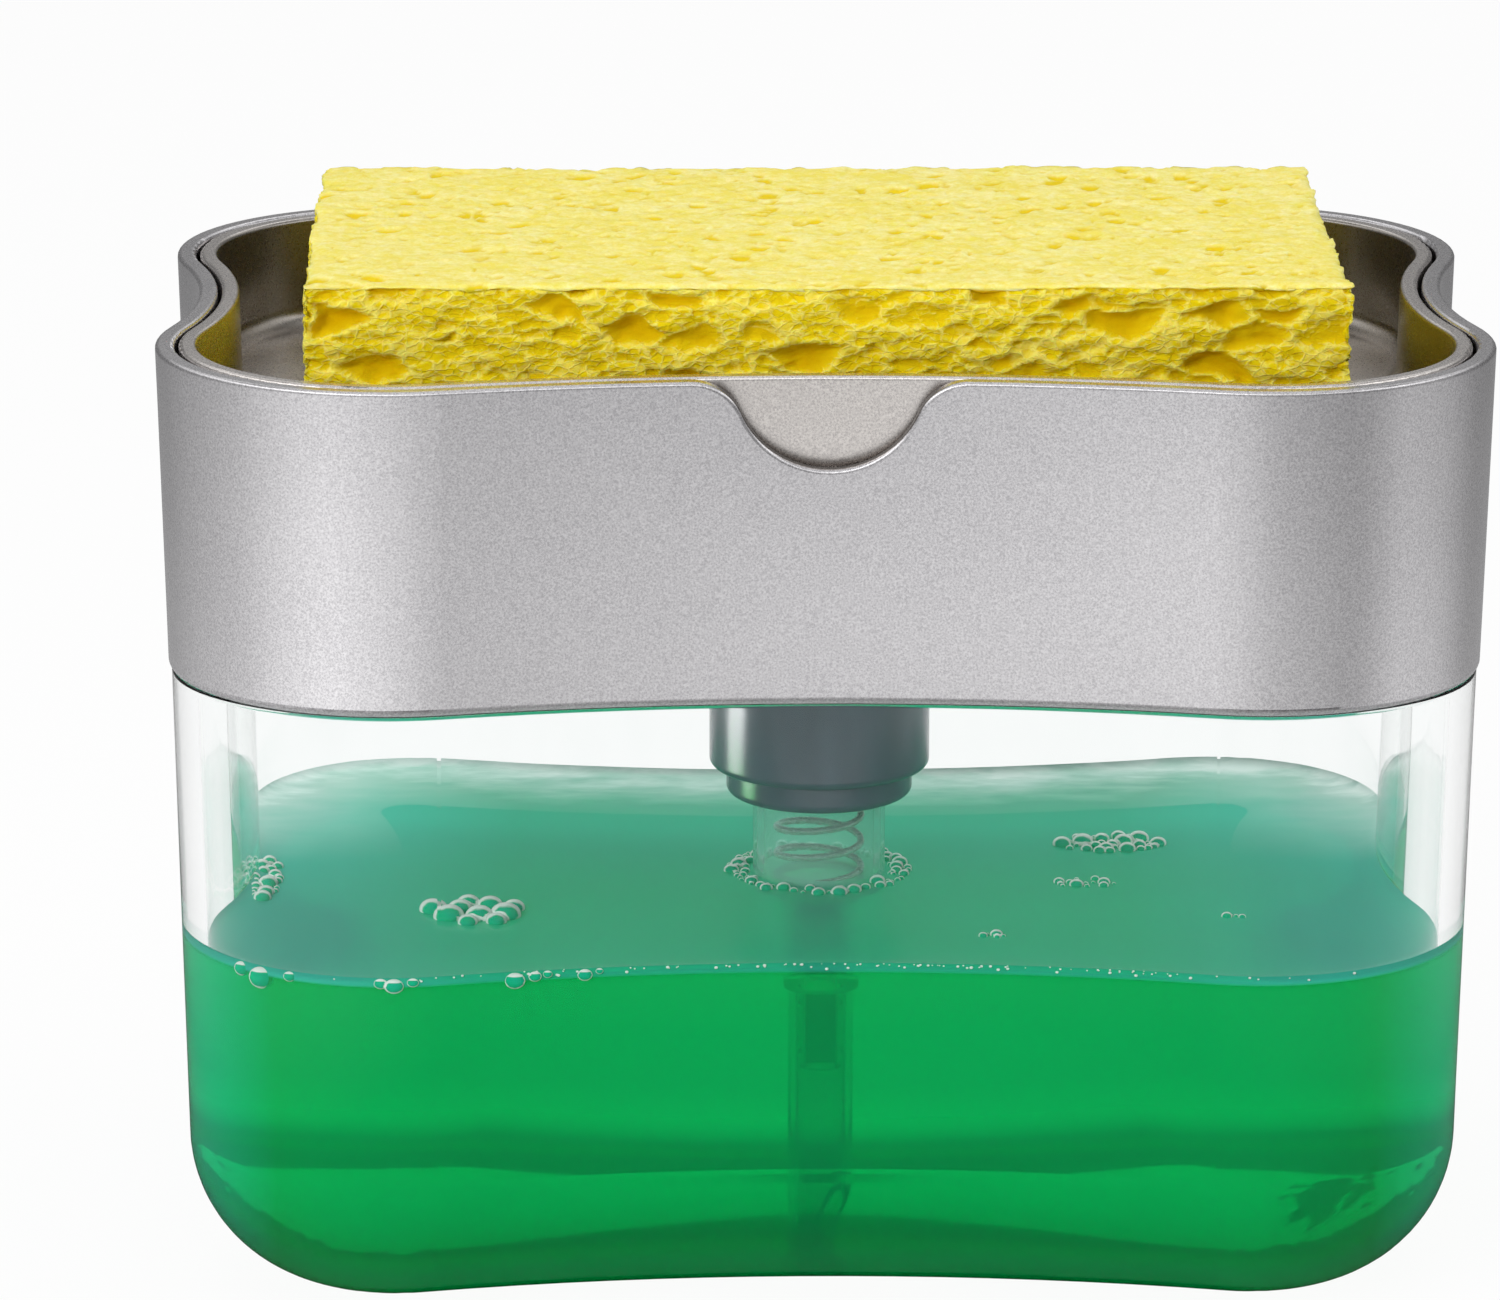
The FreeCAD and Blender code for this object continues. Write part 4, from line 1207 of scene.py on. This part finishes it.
class CADDY_OT_stage(Operator):
    """Lay the floor, hang the lamps and the studio screen, and set up the camera"""

    bl_idname = "caddy.stage"
    bl_label = "Stage"

    def execute(self, context):
        settings = context.scene.caddy_stage
        context.scene.view_settings.view_transform = "Standard"
        self.lay_floor(context, settings)
        self.hang_screen(context, settings)
        self.light_sky(context, settings)
        for name in ("top_lamp", "left_lamp", "right_lamp"):
            self.hang_lamp(context, settings, name)
        self.light_soap(context, settings)
        self.stand_strip(context, settings)
        self.stand_camera(context, settings)
        return {"FINISHED"}

    def seen_white(self, recipe):
        """1 for the rays that should find plain white: the camera's, mirrored and refracted ones."""
        ray = recipe.node("ShaderNodeLightPath")
        outputs = ray.socket.node.outputs
        kinds = ("Is Camera Ray", "Is Glossy Ray", "Is Transmission Ray")
        camera, glossy, transmission = [Signal(recipe, outputs[kind]) for kind in kinds]
        total = camera + glossy + transmission
        return total.maths("MINIMUM", total, 1.0)

    def lay_floor(self, context, settings):
        reach = settings.floor_reach
        mesh = bpy.data.meshes.new("floor")
        corners = [(-reach, -reach, 0), (reach, -reach, 0), (reach, reach, 0), (-reach, reach, 0)]
        mesh.from_pydata(corners, [], [(0, 1, 2, 3)])
        finish, recipe = new_finish("pale_floor")
        paper = recipe.node("ShaderNodeBsdfDiffuse", None, {"Color": settings.floor_colour})
        white = recipe.node("ShaderNodeEmission", None, {"Color": WHITE, "Strength": 1.0})
        amount = self.seen_white(recipe) * settings.backdrop
        recipe.output(recipe.blend(amount, paper, white))
        mesh.materials.append(finish)
        floor = bpy.data.objects.new("floor", mesh)
        context.scene.collection.objects.link(floor)

    def hang_screen(self, context, settings):
        """A round screen with a dark mat, seen by mirrored rays only, brighter and darker by direction."""
        sides = settings.screen_sides
        profile = (
            (settings.mat_radius, settings.screen_lift),
            (settings.screen_radius, settings.screen_lift),
            (settings.screen_radius, settings.screen_height),
        )
        points = []
        faces = []
        for step in range(sides):
            turn = 2 * math.pi * step / sides
            points += [(reach * math.sin(turn), -reach * math.cos(turn), z) for reach, z in profile]
            low = len(profile) * step
            high = len(profile) * ((step + 1) % sides)
            faces += [(low, high, high + 1, low + 1), (low + 1, high + 1, high + 2, low + 2)]
        mesh = bpy.data.meshes.new("studio_screen")
        mesh.from_pydata(points, [], faces)
        finish, recipe = new_finish("studio_screen")
        across, along, height = recipe.axes(recipe.spot())
        around = across.maths("ARCTAN2", across, along * -1.0) / (2 * math.pi) + 0.5
        reach = (across * across + along * along) ** 0.5
        radius = settings.screen_radius
        lit = recipe.spread(reach, settings.lit_from * radius, settings.lit_to * radius)
        tall = settings.screen_height
        levels = [((stop["turned"] + 180) / 360, grey(stop["level"])) for stop in SCREEN_LEVELS]
        falls = [(stop["height"] / tall, grey(stop["level"])) for stop in SCREEN_HEIGHTS]
        level = recipe.node("ShaderNodeValToRGB", {"stops": levels}, {"Fac": around})
        fall = recipe.node("ShaderNodeValToRGB", {"stops": falls}, {"Fac": height / tall})
        mat = settings.mat_level * recipe.spread(reach, settings.mat_from, settings.mat_to)
        tone = recipe.mix(mat + (level * fall - mat) * lit, BLACK, WHITE)
        glow = {"Color": tone, "Strength": settings.screen_gain}
        recipe.output(recipe.node("ShaderNodeEmission", None, glow))
        mesh.materials.append(finish)
        screen = bpy.data.objects.new("studio_screen", mesh)
        screen.visible_camera = False
        screen.visible_diffuse = False
        screen.visible_transmission = False
        screen.visible_shadow = False
        context.scene.collection.objects.link(screen)

    def light_sky(self, context, settings):
        """Even light for the floor and the object, and a white room with a darker ceiling in mirrors."""
        world = bpy.data.worlds.new("studio_sky")
        world.use_nodes = True
        recipe = Recipe(world.node_tree)
        way = recipe.node("ShaderNodeTexCoord", output="Generated")
        up = recipe.node("ShaderNodeSeparateXYZ", None, {"Vector": way}, output="Z")
        ceiling = recipe.spread(up, low=0.0, high=0.2)
        overhead = recipe.spread(up, low=0.55, high=0.8)
        bounced = 1 - recipe.node("ShaderNodeLightPath", output="Is Camera Ray")
        upper = settings.ceiling_level + overhead * (settings.overhead_level - settings.ceiling_level)
        white = 1 - ceiling * bounced * (1 - upper)
        seen = self.seen_white(recipe)
        level = (1 - seen) * settings.sky_level + seen * white
        tone = recipe.mix(level, BLACK, WHITE)
        sky = recipe.node("ShaderNodeBackground", None, {"Color": tone, "Strength": 1.0})
        recipe.output(sky, kind="ShaderNodeOutputWorld")
        context.scene.world = world

    def hang_lamp(self, context, settings, name):
        """A square lamp that lights but isn't seen, from the settings that start with its name."""
        where = Vector(getattr(settings, f"{name}_place"))
        lamp = bpy.data.lights.new(name, "AREA")
        lamp.shape = "SQUARE"
        lamp.size = getattr(settings, f"{name}_size")
        lamp.energy = getattr(settings, f"{name}_power")
        hung = bpy.data.objects.new(name, lamp)
        hung.location = where
        aim = Vector(settings.lamp_aim) - where
        hung.rotation_euler = aim.to_track_quat("-Z", "Y").to_euler()
        hung.visible_camera = False
        hung.visible_glossy = False
        hung.visible_transmission = False
        context.scene.collection.objects.link(hung)
        return hung

    def light_only(self, lamp, name, pieces):
        """Keeps a lamp's light to a few pieces."""
        lit = bpy.data.collections.new(name)
        for piece in pieces:
            lit.objects.link(piece)
        lamp.light_linking.receiver_collection = lit

    def light_soap(self, context, settings):
        """A soft lamp behind the tank that lights the soap's surface and what stands in it."""
        lamp = self.hang_lamp(context, settings, "back_lamp")
        made = [bpy.data.objects[name] for name in ("soap_liquid", "soap_froth")]
        self.light_only(lamp, "soap_and_barrel", [*made, frame["nodes"]["pump_cylinder"]])

    def stand_strip(self, context, settings):
        """A small soft light beside the tank that only the pump's collar mirrors."""
        strip = self.hang_lamp(context, settings, "collar_strip")
        strip.visible_diffuse = False
        strip.visible_glossy = True
        self.light_only(strip, "collar_only", [frame["nodes"]["pump_collar"]])

    def stand_camera(self, context, settings):
        lens = bpy.data.cameras.new("camera")
        lens.sensor_fit = "HORIZONTAL"
        lens.sensor_width = 36.0
        lens.lens = settings.camera_lens
        lens.clip_start = 0.01
        lens.clip_end = 50.0
        camera = bpy.data.objects.new("camera", lens)
        camera.location = settings.camera_place
        aim = Vector(settings.camera_aim)
        turn = aim.to_track_quat("-Z", "Y") @ Quaternion((0, 0, 1), settings.camera_roll)
        camera.rotation_mode = "QUATERNION"
        camera.rotation_quaternion = turn
        context.scene.collection.objects.link(camera)
        context.scene.camera = camera


class CADDY_OT_silver(Operator):
    """Coat the rim and the tray in satin silver"""

    bl_idname = "caddy.silver"
    bl_label = "Silver rim and tray"

    def execute(self, context):
        settings = context.scene.caddy_silver
        band_tones = {"dark": settings.dark, "light": settings.light}
        # Painted light: the tray gets lighter, warmer tones than the band
        tray_painted_light_tones = {"dark": settings.tray_dark, "light": settings.tray_light}
        # Painted shade: the band darkens its notch's cut face and the tray its inner wall
        band = silver_finish(settings, "satin_silver", **band_tones, lining=0.0, cut=settings.cut_face_shade_share)
        tray = silver_finish(settings, "tray_silver", **tray_painted_light_tones, lining=settings.lining_share, cut=0.0)
        paint("upper_housing", band)
        paint("sponge_tray", tray)
        return {"FINISHED"}


class CADDY_OT_tank(Operator):
    """Give the tank its clear plastic"""

    bl_idname = "caddy.tank"
    bl_label = "Clear tank"

    def execute(self, context):
        settings = context.scene.caddy_tank
        clear = clear_finish("clear_tank", settings.tint, settings.smear, refraction=1.42, gloss=0.0)
        paint("tank", clear)
        return {"FINISHED"}


class CADDY_OT_soap(Operator):
    """Fill the tank with soap and scatter the froth on it"""

    bl_idname = "caddy.soap"
    bl_label = "Soap and froth"

    def execute(self, context):
        tank = context.scene.caddy_tank
        soap = context.scene.caddy_soap
        points, faces, film = soap_shape(tank, soap)
        liquid = new_piece("soap_liquid", points, faces, soap_finish(soap), "reservoir")
        carry(liquid, "back_film", film)
        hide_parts("soap_fill")
        all_points = []
        all_faces = []
        all_painted_highlights = []
        first = 0
        bubbles = froth_bubbles(tank, soap)
        for own, bubble in enumerate(bubbles):
            points, faces, white = bubble_shape(*bubble)
            all_points.append(points)
            # Painted highlight and reflection: each point's white from its height and from where bubbles meet
            all_painted_highlights.append(np.maximum(white, painted_touch_lines(points, own, bubbles)))
            all_faces += [tuple(first + corner for corner in face) for face in faces]
            first += len(points)
        points = np.concatenate(all_points)
        froth = new_piece("soap_froth", points, all_faces, froth_finish(soap), "reservoir")
        carry(froth, "white", np.concatenate(all_painted_highlights))
        return {"FINISHED"}


class CADDY_OT_sponge(Operator):
    """Cut the porous sponge that lies in the tray"""

    bl_idname = "caddy.sponge"
    bl_label = "Sponge"

    def execute(self, context):
        settings = context.scene.caddy_sponge
        points, faces, marks = sponge_mesh(settings)
        finish = sponge_finish(settings)
        sponge = new_piece("cellulose_sponge", points, faces, finish, "sponge_block")
        for name, values in marks.items():
            carry(sponge, name, values)
        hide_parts("sponge")
        return {"FINISHED"}


class CADDY_OT_pump(Operator):
    """Finish the pump's collar, barrel, dip tube and inner parts"""

    bl_idname = "caddy.pump"
    bl_label = "Pump"

    def execute(self, context):
        settings = context.scene.caddy_pump
        shiny = {"gloss": 0.20, "grain": 0.0003}
        satin = {"gloss": 0.42, "grain": 0.0004}
        dull = {"gloss": 0.62, "grain": 0.0002}
        slate = moulded_finish("slate_plastic", settings.slate, settings.slate_dark, **shiny)
        white = moulded_finish("white_plastic", settings.white, settings.white_shade, **satin)
        rubber = moulded_finish("seal_rubber", settings.rubber, settings.rubber_dust, **dull)
        milky = {"refraction": 1.12, "gloss": 0.10, "clearness": 0.84}
        barrel = clear_finish("clear_barrel", settings.barrel, settings.barrel, **milky)
        tube = clear_finish("clear_tube", settings.tube, settings.tube, refraction=1.12, gloss=0.05)
        for name in ("pump_stem", "piston_rod", "stem_guide"):
            paint(name, white)
        for name in ("piston_seal", "neck_gasket"):
            paint(name, rubber)
        paint("pump_collar", slate)
        paint("pump_cylinder", barrel)
        paint("dip_tube", tube)
        return {"FINISHED"}


class CADDY_OT_spring(Operator):
    """Wind the pump's spring and finish the valve ball in the same steel"""

    bl_idname = "caddy.spring"
    bl_label = "Spring and ball"

    def execute(self, context):
        settings = context.scene.caddy_pump
        steel = steel_finish(settings)
        points, faces = ring_skin(spring_rings(settings))
        spring = new_piece("spring_coil", points, faces, steel, "top")
        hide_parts("return_spring")
        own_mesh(spring)
        paint("inlet_ball", steel)
        return {"FINISHED"}


class CADDY_PT_panel(Panel):
    """The caddy's steps and settings"""

    bl_idname = "CADDY_PT_panel"
    bl_label = "Soap pump caddy"
    bl_space_type = "VIEW_3D"
    bl_region_type = "UI"
    bl_category = "Caddy"

    def draw(self, context):
        for step in STEPS:
            self.layout.operator(step.bl_idname)
        for name, group in SETTINGS.items():
            box = self.layout.box()
            box.label(text=group.__doc__)
            for setting in group.__annotations__:
                label = setting.replace("_", " ").capitalize()
                box.prop(getattr(context.scene, name), setting, text=label)


STEPS = (
    CADDY_OT_silver,
    CADDY_OT_tank,
    CADDY_OT_soap,
    CADDY_OT_sponge,
    CADDY_OT_pump,
    CADDY_OT_spring,
    CADDY_OT_stage,
)


def register():
    for name, group in SETTINGS.items():
        bpy.utils.register_class(group)
        setattr(bpy.types.Scene, name, PointerProperty(type=group))
    for step in (*STEPS, CADDY_PT_panel):
        bpy.utils.register_class(step)


def unregister():
    for step in (CADDY_PT_panel, *reversed(STEPS)):
        bpy.utils.unregister_class(step)
    for name, group in reversed(SETTINGS.items()):
        delattr(bpy.types.Scene, name)
        bpy.utils.unregister_class(group)


def main():
    register()
    bpy.ops.caddy.silver()
    bpy.ops.caddy.tank()
    bpy.ops.caddy.soap()
    bpy.ops.caddy.sponge()
    bpy.ops.caddy.pump()
    bpy.ops.caddy.spring()
    bpy.ops.caddy.stage()
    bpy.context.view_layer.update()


if __name__ == "__main__":
    main()
